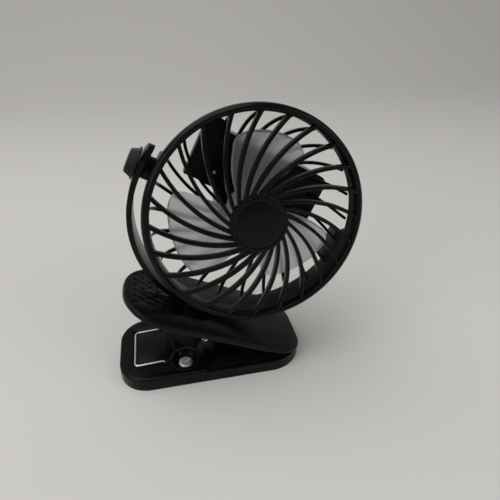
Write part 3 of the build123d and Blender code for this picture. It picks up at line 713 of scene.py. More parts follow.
# ---- spring
@dataclass
class SpringWire(Assembly):
    """The double torsion spring: one wire bent round the hinge pin."""

    wire: float = 0.65
    coil: float = 3.3
    pitch: float = 1.86
    leg: float = 1.2
    leave: float = -150.0
    turns: float = 720.0
    reach: float = 12.5
    skin: float = 2.0
    inside: float = 4.3
    rise: float = -28.5
    ramp: float = 3.5
    gap: float = 0.03
    bail: Point = (7.95, 9.05)
    bends: tuple[float, ...] = (3.0, 2.6, 1.6, 1.6, 2.2)

    def _coil(self, first: float, last: float, side: int) -> list[Vector]:
        """Points on one coil.

        Args:
            first: angle at the lever leg, in degrees.
            last: angle at the base leg.
            side: 1 for the back coil, -1 for the front coil.

        Returns:
            Points from the lever leg to the base leg.
        """
        points = []
        x, z = self.stance.hinge
        count = 96
        for i in range(count + 1):
            angle = first + (last - first) * i / count
            across, up = polar(self.coil, angle)
            y = self.leg + self.pitch * (angle - last) / 360
            points.append(Vector((x + across, side * y, z + up)))
        return points

    @staticmethod
    def _rounded(corners: Sequence[Vector], radii: Sequence[float]) -> list[Vector]:
        """Round the inner corners of a chain of points with arcs.

        Args:
            corners: the chain.
            radii: one radius for each inner corner.

        Returns:
            The chain with its corners rounded.
        """
        points, steps = [corners[0]], 8
        for before, here, after, radius in zip(corners, corners[1:], corners[2:], radii):
            back, ahead = (before - here).normalized(), (after - here).normalized()
            half = back.angle(ahead) / 2
            cut = radius / math.tan(half)
            middle = here + (back + ahead).normalized() * (radius / math.sin(half))
            first, last = here + back * cut - middle, here + ahead * cut - middle
            whole = first.angle(last)
            for i in range(steps + 1):
                t = i / steps
                arm = (first * math.sin((1 - t) * whole) + last * math.sin(t * whole))
                points.append(middle + arm / math.sin(whole))
        return points + [corners[-1]]

    def half(self, side: int) -> list[Vector]:
        """One half of the wire.

        Args:
            side: 1 for the back half, -1 for the front half.

        Returns:
            Points from the lever leg to the middle of the bail.
        """
        stance = self.stance
        tilt = math.radians(stance.lever_tilt)
        along = Vector((-math.cos(tilt), 0, math.sin(tilt)))
        up = Vector((math.sin(tilt), 0, math.cos(tilt)))
        centre = Vector((stance.hinge[0], 0, stance.hinge[1]))
        top = Vector((stance.tip[0], 0, stance.tip[1]))
        drop = (top - centre).dot(up) - self.skin - self.wire - self.gap
        far = centre + along * self.reach + up * drop
        span = far - centre
        angle = math.atan2(span.z, span.x) + math.asin(self.coil / span.length)
        coil = self._coil(math.degrees(angle) - 90, self.leave + 90 - self.turns, side)
        across, fall = polar(1.0, self.leave)
        end = coil[-1]
        down = end + Vector((across, 0, fall)) * ((end.z - self.inside) / -fall)
        (x, y), (low, high) = stance.bail, self.bail
        chain = [end, down, Vector((self.rise + self.ramp, side * self.leg, self.inside)),
                 Vector((self.rise, side * y, self.inside)), Vector((self.rise, side * y, high)),
                 Vector((x, side * y, low)), Vector((x, 0, low))]
        return [far + Vector((0, coil[0].y, 0))] + coil + self._rounded(chain, self.bends)[1:]

    def build(self) -> None:
        """Sweep the wire and place it in the base's frame, riding on no body."""
        points = self.half(1) + list(reversed(self.half(-1)))[1:]
        shape = bpy.data.curves.new("wire_path", "CURVE")
        shape.dimensions = "3D"
        shape.bevel_depth = self.wire
        shape.bevel_resolution = 3
        shape.use_fill_caps = True
        line = shape.splines.new("POLY")
        line.points.add(len(points) - 1)
        for spot, point in zip(line.points, points):
            spot.co = (*point, 1.0)
        obj = bpy.data.objects.new("spring_wire", shape)
        bpy.context.scene.collection.objects.link(obj)
        Bench.only(obj)
        bpy.ops.object.convert(target="MESH")
        obj = Bench.named("spring_wire")
        Bench.tidy(obj)
        self.place(obj, self.stance.base(), Body.BASE, "torsion_spring", BRIGHT_WIRE, 60.0, False)
        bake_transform(obj)


# ---- clip base
@dataclass
class ClipBase(Assembly):
    """The lower half of the clip with its jaw pad and one deep-set screw."""

    length: float = 110.0
    width: float = 54.2
    corners: Point = (17.5, 20.8)
    height: float = 8.5
    rim: float = 7.0
    hollow: Point = (2.2, 2.7)
    pad: Triple = (-5.0, 5.0, 6.6)
    tongue: Point = (19.0, 12.6)
    inset: float = 2.4
    pit: Point = (-16.5, -14.8)
    pit_floor: float = 4.6
    screw: Point = (4.6, 2.3)
    groove: Point = (1.4, 1.5)
    groove_floor: float = 7.3
    groove_end: float = -27.5
    dip: Triple = (-30.7, 1.0, 5.4)
    slot: tuple[Point, Point, Point] = ((-6.6, 1.2), (-2.4, 2.4), (4.4, 20))
    ears: Point = (9.51, 11.51)
    ear_r: float = 3.6

    def plan(self, inset: float) -> Outline:
        """Outline of the base."""
        return rounded_outline(self.length, self.width, *self.corners, inset)

    def zone(self, grow: float) -> Outline:
        """Outline of the jaw zone: a C round the raised tongue, wider than the base.

        Args:
            grow: how far the zone reaches past its line.

        Returns:
            Points in order.
        """
        start, half, end = self.pad[0] - grow, self.tongue[1] - grow, self.tongue[0] - grow
        r = 11.0
        return [(start, 40), (start, half + r), *arc(start + r, half + r, r, 180, 270, 12)[1:],
                (end, half), (end, -half), *arc(start + r, -half - r, r, 90, 180, 12),
                (start, -40), (70, -40), (70, 40)]

    def shell(self) -> Piece:
        """Model the shell: rounded slab, jaw, pad pocket, pit, bail grooves, wire slot, ears."""
        body = Bench.prism("base_shell_skin", self.plan(0.0), 0.0, self.height)
        Bench.bevel(body, self.height - self.rim, 4,
                    lambda c, d: c.z > self.height - 0.01 and abs(d.z) < 0.1)
        Bench.carve(body, Bench.prism("t", self.zone(0.3), self.rim, 20))
        pocket = Bench.prism("t", self.plan(self.inset), self.pad[1], 20)
        Bench.carve(pocket, Bench.prism("t2", self.zone(0.0), 0, 30), how="INTERSECT")
        at, low = moved(*self.pit, 0), self.pit_floor
        pit = Bench.lathe("t", ((0, low), (5.4, low), (7.4, 9.1), (7.4, 12), (0, 12)), 64)
        Bench.carve(body, pocket, Bench.prism("t", self.plan(self.hollow[0]), -5, self.hollow[1]),
                    Bench.move(pit, at))
        x, y = self.stance.bail
        (back, half), end, top = self.groove, self.groove_end, (self.groove_floor, 20)
        for side in (y, -y):
            rest = Bench.block("t", (x - back, end), (side - half, side + half), top)
            dip = Bench.block("t", (self.dip[0], end), (side - self.dip[1], side + self.dip[1]),
                              (self.dip[2], 20))
            Bench.carve(body, rest, dip)
        Bench.carve(body, Bench.block("t", (x - back, x + 1.6), (-y - half, y + half), top))
        Bench.carve(body, Bench.block("t", *self.slot))
        Bench.soften(body, 0.3)
        lip = Bench.lathe("lip", ((7.4, 8.3), (7.4, 8.95), (7.65, 9.15), (8.9, 9.15), (9.3, 8.95),
                                  (9.5, 8.6), (9.5, 8.3)), 72, True)
        x, z = self.stance.hinge
        ear = [(x - 6, 6.6), (x + 6, 6.6), *arc(x, z, self.ear_r, -10, 190, 10)]
        ears = [Bench.plate("ear", ear, self.ears, side) for side in (1, -1)]
        return Bench.join("base_shell_skin", [body, Bench.move(lip, at), *ears])

    def jaw_pad(self) -> Piece:
        """Model the rubber pad with a softened edge."""
        pad = Bench.prism("base_jaw_pad", self.plan(self.inset + 0.1), self.pad[1], self.pad[2])
        Bench.carve(pad, Bench.prism("t", self.zone(-0.1), 0, 30), how="INTERSECT")
        Bench.soften(pad, 0.3)
        return pad

    def screw_piece(self) -> Piece:
        """Model the cross-head screw at the bottom of its pit."""
        radius, high = self.screw
        dome = [(radius * across, high * up) for across, up in (
            (0, 0), (1, 0), (1, 0.35), (0.97, 0.6), (0.86, 0.83), (0.66, 0.97), (0.4, 1), (0, 1))]
        head = Bench.lathe("head", dome, 64)
        slot = radius * 0.5
        for x, y in ((slot, 0.5), (0.5, slot)):
            Bench.carve(head, Bench.block("t", (-x, x), (-y, y), (high * 0.4, high + 1)))
        Bench.soften(head, 0.12, 50.0)
        one = Bench.join("base_cross_screw", [head, Bench.rod("shank", 1.3, -3.6, 0.2, 32)])
        return Bench.move(one, moved(*self.pit, self.pit_floor) @ turned(20, "Z"))

    def build(self) -> None:
        """Build and place the pieces of the base."""
        for piece, node, finish in ((self.shell(), "base_shell", SATIN_BLACK),
                                    (self.jaw_pad(), "base_grip_pad", PAD_RUBBER),
                                    (self.screw_piece(), "base_screw", BRIGHT_SCREW)):
            self.place(piece, self.stance.base(), Body.BASE, node, finish)


# ---- lever
@dataclass
class Lever(Assembly):
    """The upper half of the clip, a turned-over tray with grip dimples."""

    length: float = 111.4
    width: float = 54.6
    corners: Point = (25.0, 18.0)
    skin: float = 2.0
    wall: float = 2.2
    skirt: float = 3.2
    curl: float = 2.2
    hinge: Point = (-46.92, -11.76)
    lugs: Point = (6.6, 8.4)
    lug_r: float = 4.4
    lug_foot: Point = (11.0, -14.0)
    dimples: tuple[int, int] = (5, 6)
    dimple_from: Point = (6.1, -12.0)
    dimple_pitch: Point = (4.5, 5.3)

    def plan(self, inset: float) -> Outline:
        """Outline of the lever, measured back from the jaw tip."""
        points = rounded_outline(self.length, self.width, *self.corners, inset)
        return [(x - self.length / 2, y) for x, y in points]

    def side(self) -> Outline:
        """Side view of the lever, as (x, z) points."""
        end, skirt, curl = -self.length, self.skirt, self.curl
        handle = [(end + skirt - skirt * math.sin(math.radians(a)),
                   -curl + curl * math.cos(math.radians(a))) for a in range(90, -1, -15)]
        return [(1, 1), (1, -1.2), (0, -1.2), (-28, -skirt), (end, -skirt), *handle, (-1.5, 0.0)]

    def shell(self) -> Piece:
        """Model the lever: rounded slab, side profile, hollow, dimples, lugs and swivel seat."""
        body = Bench.prism("lever_skin", self.plan(0.0), -8.0, 0.0)
        Bench.bevel(body, 1.1, 3, lambda c, d: c.z > -0.01 and abs(d.z) < 0.1)
        profile = Bench.prism("t", self.side(), -40, 40)
        Bench.carve(body, Bench.move(profile, turned(90, "X")), how="INTERSECT")
        Bench.carve(body, Bench.prism("t", self.plan(self.wall), -12, -self.skin))
        (start_x, start_y), (step_x, step_y) = self.dimple_from, self.dimple_pitch
        for i in range(self.dimples[0]):
            for j in range(self.dimples[1]):
                x = start_x - self.length + step_x * i
                y = start_y + step_y * j + (step_y / 2 if i % 2 else 0)
                bowl = Bench.lathe("t", ((0, -0.9), (0.55, -0.75), (0.95, -0.2), (1.15, 0.6),
                                         (0, 0.6)), 16)
                Bench.carve(body, Bench.move(bowl, moved(x, y, 0)))
        Bench.soften(body, 0.25)
        x, z = self.hinge
        lug = [*((x + foot, 0.1 - self.skin) for foot in self.lug_foot),
               *arc(x, z, self.lug_r, 170, 370, 10)]
        lugs = [Bench.plate("lug", lug, self.lugs, side) for side in (1, -1)]
        boss = Bench.lathe("boss", ((3.3, -0.1), (3.3, -4.4), (3.6, -4.6), (6.1, -4.6), (6.4, -4.3),
                                    (6.4, -2.0), (12.6, -2.0), (12.6, -0.3), (12.3, 0.0),
                                    (3.6, 0.0)), ROUND, True)
        Bench.move(boss, self.stance.seat())
        return Bench.join("lever_skin", [body, *lugs, boss])

    def build(self) -> None:
        """Build and place the lever."""
        self.place(self.shell(), self.stance.lever(), Body.LEVER, "lever_shell", SATIN_BLACK)


# ---- yoke
@dataclass
class Yoke(Assembly):
    """The U-shaped band with its foot disc, post and outer boss."""

    inner: float = 59.8
    outer: float = 62.6
    bottom: float = 0.3
    drop: float = 3.0
    rise: float = 4.0
    width: float = 15.4
    foot: float = 12.0
    post: float = 3.2
    bore: float = 2.45
    spot: Point = (6.8, 0.12)

    def band(self, pivot: float) -> Piece:
        """Model the band: a hoop cut to round-ended arms, softened, then faced at the pivot.

        Args:
            pivot: height of the tilt pivot.

        Returns:
            The band.
        """
        half = self.width / 2
        middle = moved(0, 0, pivot - self.drop) @ turned(90, "X")
        hoop = Bench.move(Bench.rod("yoke_band", self.outer, -half, half, HOOP), middle)
        bore = Bench.rod("t", self.inner, -half - 2, half + 2, HOOP)
        Bench.carve(hoop, Bench.move(bore, middle))
        side = [(-half, self.bottom), (half, self.bottom),
                *arc(0, pivot + self.rise, half, 0, 180, 18)]
        upright = Matrix(((0, 0, 1, 0), (1, 0, 0, 0), (0, 1, 0, 0), (0, 0, 0, 1)))
        stadium = Bench.move(Bench.prism("t", side, -90, 90), upright)
        Bench.carve(hoop, stadium, how="INTERSECT")
        Bench.soften(hoop, 0.7, 40.0, 3)
        reach = self.inner + self.spot[1]
        for radius, low, high in ((self.spot[0], -reach, reach), (self.bore, -80, -50),
                                  (self.bore, 50, self.outer + 0.1)):
            hole = Bench.rod("t", radius, low, high)
            Bench.carve(hoop, Bench.move(hole, moved(0, 0, pivot) @ turned(90, "Y")))
        return hoop

    def build(self) -> None:
        """Build and place the yoke."""
        pivot, f = self.stance.pivot_height, self.foot
        foot = Bench.lathe("foot", ((self.post, -4.7), (self.post, 0.1), (f - 0.8, 0.1), (f, 0.5),
                                    (f, 1.5), (f - 0.8, 2.35), (f - 3.0, 2.65), (0, 2.65)))
        out, back = self.outer, self.inner + 1.0
        cap = Bench.lathe("boss", ((0, out + 0.8), (4.6, out + 0.75), (5.6, out + 0.45),
                                   (6.0, out - 0.2), (6.0, back), (self.bore, back),
                                   (self.bore, out + 0.1), (0, out + 0.1)), 48)
        Bench.move(cap, moved(0, 0, pivot) @ turned(90, "Y"))
        yoke = Bench.join("yoke_frame", [self.band(pivot), foot, cap])
        self.place(yoke, self.stance.yoke(), Body.YOKE, "yoke", SMOOTH_BLACK)


# ---- knob
@dataclass
class TiltKnob(Assembly):
    """The tapered hex knob that clamps the tilt."""

    face: float = 62.95
    flange: Point = (8.5, 0.9)
    corner: float = 8.2
    taper: float = 22.0
    length: float = 4.8

    def build(self) -> None:
        """Build and place the knob."""
        r, thick = self.flange
        disc = Bench.lathe("flange", ((0, 0.0), (r - 0.2, 0.0), (r, 0.2), (r, thick - 0.35),
                                      (r - 0.35, thick), (0, thick)), 72)
        hexagon = Bench.prism("hex", [polar(self.corner, 60 * i) for i in range(6)],
                              thick - 0.2, self.length)
        flats = self.corner * math.cos(math.radians(30))
        inward = (self.length - thick) * math.tan(math.radians(self.taper))
        shrink = (flats - inward) / flats
        top = self.length - 0.01
        with Bench.edit(hexagon):
            Bench.pick(hexagon, "verts", lambda c, n: c.z > top)
            bpy.ops.transform.resize(value=(shrink, shrink, 1), center_override=(0, 0, 0))
        Bench.bevel(hexagon, 0.7, 4, lambda c, d: abs(d.z) > 0.7)
        Bench.bevel(hexagon, 0.6, 4, lambda c, d: c.z > top and abs(d.z) < 0.1)
        with Bench.edit(hexagon, "FACE"):
            Bench.pick(hexagon, "faces", lambda c, n: n.z > 0.99)
            bpy.ops.mesh.inset(thickness=0.9)
            bpy.ops.transform.translate(value=(0, 0, -0.2))
        knob = Bench.join("tilt_knob_cap", [hexagon, disc])
        Bench.move(knob, moved(-self.face, 0, 0) @ turned(-90, "Y"))
        self.place(knob, self.stance.pivot(), Body.KNOB, "knob_cap", KNOB_BLACK)


# ---- grilles
@dataclass
class RibArc:
    """The plan curve that the ribs of a grille follow: a circle through three points."""

    start: Point
    middle: Point
    end: Point

    def centre(self) -> Point:
        """Centre of the circle through the three points."""
        (ax, ay), (bx, by), (cx, cy) = self.start, self.middle, self.end
        d = 2 * (ax * (by - cy) + bx * (cy - ay) + cx * (ay - by))
        a, b, c = ax * ax + ay * ay, bx * bx + by * by, cx * cx + cy * cy
        return ((a * (by - cy) + b * (cy - ay) + c * (ay - by)) / d,
                (a * (cx - bx) + b * (ax - cx) + c * (bx - ax)) / d)

    def rib(self, width: float, depth: float, front: Callable[[float], float],
            steps: int = 18, crown: float = 0.6) -> Piece:
        """Extrude one rib section along the curve, following a bowl in height.

        Args:
            width: width of the rib in plan.
            depth: depth of the rib behind its front face.
            front: height of the front face at a radius from the axis.
            steps: sections along the rib.
            crown: rounding of the front corners.

        Returns:
            The rib, on the plan curve.
        """
        cx, cy = self.centre()
        x, y = self.start
        begin = math.atan2(y - cy, x - cx)
        last = math.atan2(self.end[1] - cy, self.end[0] - cx)
        turn = ((last - begin + math.pi) % (2 * math.pi) - math.pi) / steps
        Bench.deselect()
        bpy.ops.mesh.primitive_plane_add(size=1.0, location=(0, 0, 0))
        obj = Bench.named("rib")
        with Bench.edit(obj, whole=True):
            bpy.ops.transform.resize(value=(width, depth, 1), center_override=(0, 0, 0))
            Bench.pick(obj, "verts", lambda c, n: c.y > 0)
            bpy.ops.mesh.bevel(offset=crown, segments=4, affect="VERTICES")
            Bench.pick(obj, "verts", lambda c, n: c.y < 0)
            bpy.ops.mesh.bevel(offset=0.25, segments=2, affect="VERTICES")
        out = Vector((x - cx, y - cy, 0)).normalized()
        along = Vector((0, 0, 1)).cross(out)
        height = front(math.hypot(x, y))
        Bench.move(obj, Matrix(((out.x, 0, along.x, x), (out.y, 0, along.y, y),
                                (0, 1, 0, height - depth / 2), (0, 0, 0, 1))))
        radius = math.hypot(x - cx, y - cy)
        with Bench.edit(obj, "FACE", True):
            for i in range(steps):
                bpy.ops.mesh.extrude_region_move()
                bpy.ops.transform.rotate(value=-turn, orient_axis="Z",
                                         center_override=(cx, cy, 0))
                a = begin + turn * (i + 1)
                spot = (cx + radius * math.cos(a), cy + radius * math.sin(a))
                rise = front(math.hypot(*spot)) - height
                bpy.ops.transform.translate(value=(0, 0, rise))
                height += rise
        Bench.tidy(obj, 0.0001)
        return obj


@dataclass
class FrontGrille(Assembly):
    """The ring, the curved ribs and the hub cap."""

    ring: Point = (56.9, 53.2)
    front: float = 3.8
    ribs: int = 24
    phase: float = 9.3
    swing: Point = (14.7, 49.5)
    bend_at: float = 0.645
    width: float = 1.85
    depth: float = 3.8
    outer_z: float = 3.4
    rib_end: float = 54.2
    cap: Point = (14.9, 7.7)
    dome: float = 0.28

    def height(self, radius: float) -> float:
        """Front height of the ribs at a radius: a shallow dome."""
        rim, hub = self.rib_end, self.cap[0] - 1.5
        t = min(max((rim - radius) / (rim - hub), 0.0), 1.0)
        low, high = self.outer_z, self.cap[1] - 0.1
        return low + (high - low) * ((1 + self.dome) * t - self.dome * t * t)

    def build(self) -> None:
        """Build and place the front grille."""
        (out, inn), f = self.ring, self.front
        hoop = Bench.lathe("ring", (
            (inn, 0.1), (inn, f - 1.9), (inn + 0.15, f - 1.1), (inn + 0.6, f - 0.45),
            (inn + 1.2, f - 0.1), (inn + 1.9, f), (out - 1.5, f - 0.15), (out - 0.7, f - 0.65),
            (out - 0.2, f - 1.4), (out, f - 2.3), (out, -1.2), (out - 0.15, -1.6),
            (out - 0.5, -1.8), (out - 1.95, -1.8), (out - 1.95, 0.1)), HOOP, True)
        r, z = self.cap
        curve = RibArc(polar(self.rib_end, self.phase),
                       polar(self.rib_end * self.bend_at, self.phase + self.swing[0]),
                       polar(r - 1.5, self.phase + self.swing[1]))
        rib = curve.rib(self.width, self.depth, self.height)
        cap = Bench.lathe("cap", (
            (0, z - 1.5), (r - 1.6, z - 2.0), (r - 1.6, z - 3.6), (r - 1.4, z - 3.8),
            (r - 0.2, z - 3.8), (r, z - 3.6), (r, z - 1.0), (r - 0.25, z - 0.4),
            (r - 0.8, z - 0.05), (r - 1.5, z + 0.05), (r - 2.05, z), (r - 2.4, z - 0.22),
            (r - 2.7, z - 0.25), (r - 3.1, z - 0.02), (r - 3.6, z + 0.15), (9, z + 0.45),
            (5, z + 0.62), (0, z + 0.7)))
        whole = Bench.join("front_guard", [hoop, cap, *Bench.copies(rib, self.ribs)])
        self.place(whole, self.stance.rim(), Body.HEAD, "front_grille", SMOOTH_BLACK, CRISP)


@dataclass
class Drum(Assembly):
    """The cage's short front wall, and the two pads that carry the pivot bosses."""

    outer: float = 54.9
    inner: float = 52.9
    wall: float = 6.6
    pad_back: float = -23.6
    pad_half: float = 9.0
    boss: Point = (6.0, 59.5)
    bore: float = 2.5

    def build(self) -> None:
        """Build and place the wall and pads."""
        r, inner, back = self.outer, self.inner, -self.wall
        parts = [Bench.lathe("drum", (
            (inner, 0.0), (r, 0.0), (r, back + 0.8), (r - 0.25, back + 0.25), (r - 0.8, back),
            (inner + 0.4, back), (inner, back + 0.4)), HOOP, True)]
        (radius, face), low = self.boss, inner + 0.6
        swing = math.degrees(math.asin(self.pad_half / inner))
        for side in (-1, 1):
            middle = 90.0 - 90.0 * side
            rim = arc(0, 0, r - 0.02, middle - swing, middle + swing, 12)
            rim += arc(0, 0, inner + 0.02, middle + swing, middle - swing, 12)
            pad = Bench.prism("pad", rim, self.pad_back, -1.0)
            Bench.soften(pad, 0.35, segments=3)
            stub = Bench.lathe("boss", ((self.bore, low), (radius - 0.4, low), (radius, low + 0.4),
                                        (radius, face - 0.5), (radius - 0.5, face),
                                        (self.bore, face)), 48, True)
            spot = moved(0, 0, -self.stance.rim_forward) @ turned(90 * side, "Y")
            parts += [pad, Bench.move(stub, spot)]
        self.place(Bench.join("drum_wall", parts), self.stance.rim(), Body.HEAD, "head_drum",
                   DRUM_BLACK, CRISP)


@dataclass
class RearGuard(Assembly):
    """The rear ribs, the pod's front plate, the motor seat and the upright arm."""

    ribs: int = 24
    phase: float = 4.8
    swing: Point = (14.2, 46.0)
    reach: Triple = (53.2, 35.0, 13.4)
    width: float = 1.65
    depth: float = 2.8
    back: float = -29.8
    bowl: Triple = (30.0, 23.3, 24.3)
    bowl_curve: Point = (0.985, 2.6)
    pod: tuple[float, float, float, float] = (-33.6, 39.4, 1.6, 31.85)
    lobe: float = 15.6
    plate: Point = (-29.8, -27.8)
    arm: Triple = (-38.5, -24.5, 36.5)
    lamp: Point = (-23.5, 9.4)

    def height(self, radius: float) -> float:
        """Front height of the rear ribs: a bowl that rises to the cage's front wall."""
        (start, run, lift), (share, power) = self.bowl, self.bowl_curve
        t = min(max((radius - start) / run, 0.0), 1.0)
        return self.back + self.depth + lift * (1.0 - math.sqrt(1.0 - (t * share) ** power))

    def pod_plan(self, inset: float = 0.0) -> Outline:
        """Outline of the pod's plate."""
        x0, x1, y0, y1 = self.pod
        points = rounded_outline(x1 - x0, y1 - y0, 7.0, 5.0, inset, 10)
        return [(x + (x0 + x1) / 2, y + (y0 + y1) / 2) for x, y in points]

    def rib_ring(self) -> Piece:
        """Model the ribs, cut back where the pod, the motor and the blades need room."""
        turns = (0.0, *self.swing)
        curve = RibArc(*(polar(r, self.phase + a) for r, a in zip(self.reach, turns)))
        rib = curve.rib(self.width, self.depth, self.height, 30, 0.5)
        ribs = Bench.join("ribs", Bench.copies(rib, self.ribs))
        inside = Bench.prism("t", self.pod_plan(1.0), -45, -15)
        Bench.carve(inside, Bench.rod("t2", 38.0, -46, -14, ROUND), how="INTERSECT")
        Bench.carve(ribs, Bench.prism("t", self.pod_plan(1.0), -45, self.plate[1]), inside,
                    Bench.rod("t", self.lobe - 1.0, -45, -15, 64))
        return ribs

    def upright(self) -> Piece:
        """Model the round-ended arm beside the pod."""
        x0, x1, top = self.arm
        r = (x1 - x0) / 2
        outline = [(x0, 2.6), (x1, 2.6), *arc((x0 + x1) / 2, top - r, r, 0, 180, 15)]
        bar = Bench.prism("arm", outline, self.back - 2.5, self.back + 3.5)
        Bench.carve(bar, Bench.prism("t", self.pod_plan(), -60, self.plate[0]))
        Bench.soften(bar, 0.8, segments=3)
        return bar

    def build(self) -> None:
        """Build and place the rear guard."""
        ribs = self.rib_ring()
        plate = Bench.prism("plate", self.pod_plan(), *self.plate)
        Bench.carve(plate, Bench.rod("t", self.lobe, *self.plate, ROUND), how="UNION")
        hole = Bench.move(Bench.rod("t", 1.0, -40, -20, 24), moved(*self.lamp, 0))
        Bench.carve(plate, Bench.rod("t", 1.9, -40, -20, 24), hole)
        z = self.plate[1]
        seat = Bench.lathe("seat", ((1.8, z), (5.5, z), (5.5, z + 2.6), (5.1, z + 3.0),
                                    (2.6, z + 3.0), (1.8, z + 2.4)), 48, True)
        Bench.soften(plate, 0.4, segments=3)
        whole = Bench.join("rear_guard", [ribs, plate, seat, self.upright()])
        self.place(whole, self.stance.rim(), Body.HEAD, "rear_grille", DRUM_BLACK, CRISP)


# ---- impeller
@dataclass
class Impeller(Assembly):
    """The hub cup and three twisted blades."""

    hub: float = 12.5
    front: float = 1.0
    back: float = -19.2
    tip: float = 43.2
    blades: int = 3
    centre: float = 100.8
    lead_z: float = -19.9
    trail_z: float = -1.7
    thick: float = 1.5
    sweep_root: Point = (-34.0, 96.0)
    sweep_gain: Point = (-7.0, -26.5)

    def edges(self, radius: float) -> Point:
        """Leading and trailing angle of a blade at a radius, in degrees.

        Args:
            radius: distance from the axis.

        Returns:
            The two angles, measured from the blade's centre line.
        """
        stations = ((0.0, -26.0, 60.0), (11.5, -26.0, 55.0), (19.0, -29.6, 48.0),
                    (26.8, -32.0, 41.0), (36.3, -33.2, 33.0), (39.4, -32.2, 31.3),
                    (41.5, -30.2, 28.8), (42.6, -27.2, 25.5), (43.2, -22.5, 20.5))
        for (r0, a0, b0), (r1, a1, b1) in zip(stations, stations[1:]):
            if radius <= r1:
                t = (radius - r0) / (r1 - r0)
                return a0 + (a1 - a0) * t, b0 + (b1 - b0) * t
        return stations[-1][1], stations[-1][2]

    def blade(self) -> Piece:
        """Shape one blade from a grid, then give it thickness and soft edges."""
        across, along = 25, 29
        root = self.hub - 1.0
        Bench.deselect()
        bpy.ops.mesh.primitive_grid_add(x_subdivisions=across - 1, y_subdivisions=along - 1,
                                        size=2.0, location=(0, 0, 0))
        obj = Bench.named("blade")
        for vertex in obj.data.vertices:
            u, v = (vertex.co.x + 1) / 2, (vertex.co.y + 1) / 2
            radius = root + (self.tip - root) * (1 - (1 - v) ** 1.6)
            lead, trail = self.edges(radius)
            angle = lead + (trail - lead) * u
            low, span = (a + b * v for a, b in zip(self.sweep_root, self.sweep_gain))
            t = (angle - low) / span
            vertex.co = (*polar(radius, angle), self.lead_z + (self.trail_z - self.lead_z) * t)
        Bench.modify(obj, "SOLIDIFY", thickness=self.thick, offset=0.0)
        Bench.tidy(obj)
        Bench.soften(obj, 0.5, 50.0, 3)
        return obj

    def build(self) -> None:
        """Build and place the impeller."""
        r, f, b = self.hub, self.front, self.back
        cup = Bench.lathe("cup", (
            (1.0, b + 2), (3.2, b + 2), (3.2, f - 2.0), (r - 1.6, f - 2.0), (r - 1.6, b),
            (r, b), (r, f - 2.0), (r - 0.25, f - 1.0), (r - 1.0, f - 0.25), (r - 2.0, f),
            (1.0, f)), ROUND, True)
        blade = Bench.move(self.blade(), turned(self.centre, "Z"))
        fan = Bench.join("impeller_three_blade", [cup, *Bench.copies(blade, self.blades)])
        self.place(fan, self.stance.rim(), Body.ROTOR, "impeller", SMOKE_BLADE, 45.0)


# ---- carried parts
CARRIED: dict[Finish, tuple[str, ...]] = {
    SATIN_BLACK: ("base_cover",),
    PAD_RUBBER: ("lever_grip_pad",),
    KNOB_BLACK: ("switch_body", "power_button"),
    PLAIN_STEEL: ("hinge_pin", "swivel_screw", "swivel_washer", "knob_stud", "pivot_nut",
                  "pivot_pin", "housing_screws", "motor_can", "motor_shaft"),
    SPRING_STEEL: ("battery_contacts", "usb_socket"),
    BRONZE: ("motor_bushes",),
    CORE_BROWN: ("motor_armature",),
    SLEEVE_BLUE: ("battery",),
    BOARD_GREEN: ("circuit_board",),
    LAMP_LENS: ("status_lamp",)}


def dress_carried(nodes: dict[str, Piece], paint: Paintbox) -> None:
    """Give every CAD node a finish; those that no piece replaces keep their shape.

    Args:
        nodes: the frame's nodes by name.
        paint: builds the materials.
    """
    finishes = {name: finish for finish, names in CARRIED.items() for name in names}
    for name, node in nodes.items():
        material = paint.of(finishes.get(name, SMOOTH_BLACK))
        node.data.materials.clear()
        node.data.materials.append(material)
        LOG.info("%s: finish %s", name, material.name)


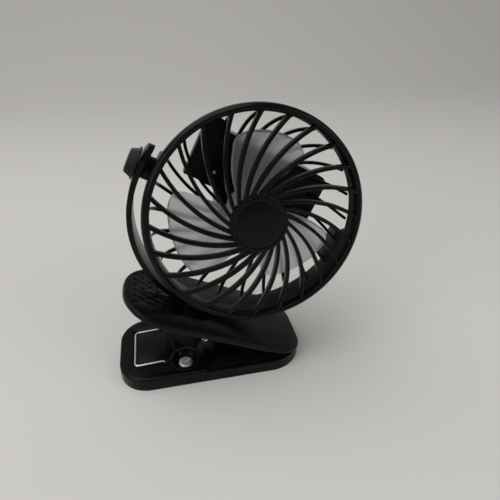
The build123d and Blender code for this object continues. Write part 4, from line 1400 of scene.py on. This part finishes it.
# ---- studio
@dataclass
class Studio:
    """Pale floor and sweep, soft lamps and the camera at the photograph's angle."""

    camera_at: Triple = (-18.4, -204.8, 197.4)
    pitch_down: float = 31.26
    yaw_right: float = 12.27
    focal_px: float = 430.0
    frame_px: float = 500.0
    sensor: float = 36.0
    floor_size: Point = (5.0, 3.0)
    aim: Triple = (0.01, 0.0, 0.07)

    def floor(self) -> None:
        """Lay the floor and raise it behind the fan in one curve."""
        Bench.deselect()
        bpy.ops.mesh.primitive_plane_add(size=1.0, location=(0, 0, 0))
        obj = Bench.named("studio_floor")
        far = self.floor_size[1] / 2 - 0.1
        with Bench.edit(obj, "EDGE", True):
            bpy.ops.transform.resize(value=(*self.floor_size, 1), center_override=(0, 0, 0))
            Bench.pick(obj, "edges", lambda c, d: c.y > far)
            bpy.ops.mesh.extrude_edges_move(TRANSFORM_OT_translate={"value": (0, 0, 2.5)})
            Bench.pick(obj, "edges", lambda c, d: c.y > far and abs(c.z) < 0.01)
            bpy.ops.mesh.bevel(offset=0.8, segments=16, affect="EDGES")
        bpy.ops.object.shade_smooth()
        material = bpy.data.materials.new("studio_floor")
        material.use_nodes = True
        Graph(material.node_tree).fill(material.node_tree.nodes["Principled BSDF"], {
            "Base Color": (0.72, 0.705, 0.68, 1.0), "Roughness": 0.9, "Specular IOR Level": 0.1})
        obj.data.materials.append(material)

    def lamp(self, name: str, at: Triple, size: float, watts: float) -> None:
        """Hang a soft square lamp that looks at the fan.

        Args:
            name: lamp name.
            at: place in metres.
            size: side of the square in metres.
            watts: power.
        """
        light = bpy.data.lights.new(name, "AREA")
        light.size = size
        light.energy = watts
        obj = bpy.data.objects.new(name, light)
        obj.location = at
        look = Vector(self.aim) - Vector(at)
        obj.rotation_euler = look.to_track_quat("-Z", "Y").to_euler()
        bpy.context.scene.collection.objects.link(obj)

    def build(self) -> None:
        """Set up floor, lamps, world and camera."""
        self.floor()
        self.lamp("soft_top", (-0.25, 0.05, 0.95), 0.9, 4.2)
        self.lamp("soft_left", (-0.9, -0.55, 0.55), 0.7, 2.4)
        self.lamp("soft_right", (0.8, -0.5, 0.6), 0.6, 1.5)
        world = bpy.data.worlds.new("studio_world")
        world.use_nodes = True
        g = Graph(world.node_tree)
        glossy = g.add("LightPath", {}).outputs["Is Glossy Ray"]
        g.fill(world.node_tree.nodes["Background"], {
            "Color": (0.50, 0.495, 0.485, 1.0),
            "Strength": g.calc("MULTIPLY_ADD", glossy, -0.35, 0.75)})
        scene = bpy.context.scene
        scene.world = world
        scene.view_settings.view_transform = "Standard"
        lens = bpy.data.cameras.new("studio_camera")
        lens.sensor_width = self.sensor
        lens.lens = self.sensor * self.focal_px / self.frame_px
        lens.clip_start = 0.01
        camera = bpy.data.objects.new("studio_camera", lens)
        camera.location = [c * MM for c in self.camera_at]
        camera.rotation_euler = (math.radians(90 - self.pitch_down), 0,
                                 math.radians(-self.yaw_right))
        scene.collection.objects.link(camera)
        scene.camera = camera


def main() -> None:
    """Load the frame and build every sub-assembly in order."""
    logging.basicConfig(level=logging.INFO, format="%(name)s %(message)s")
    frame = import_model()
    stance, paint = Stance(), Paintbox()
    dress_carried(frame["nodes"], paint)
    for part in (ClipBase, SpringWire, Lever, Yoke, TiltKnob, FrontGrille, Drum, RearGuard,
                 Impeller):
        part(stance, paint).build()
        LOG.info("%s done", part.__name__)
    Studio().build()


if __name__ == "__main__":
    main()
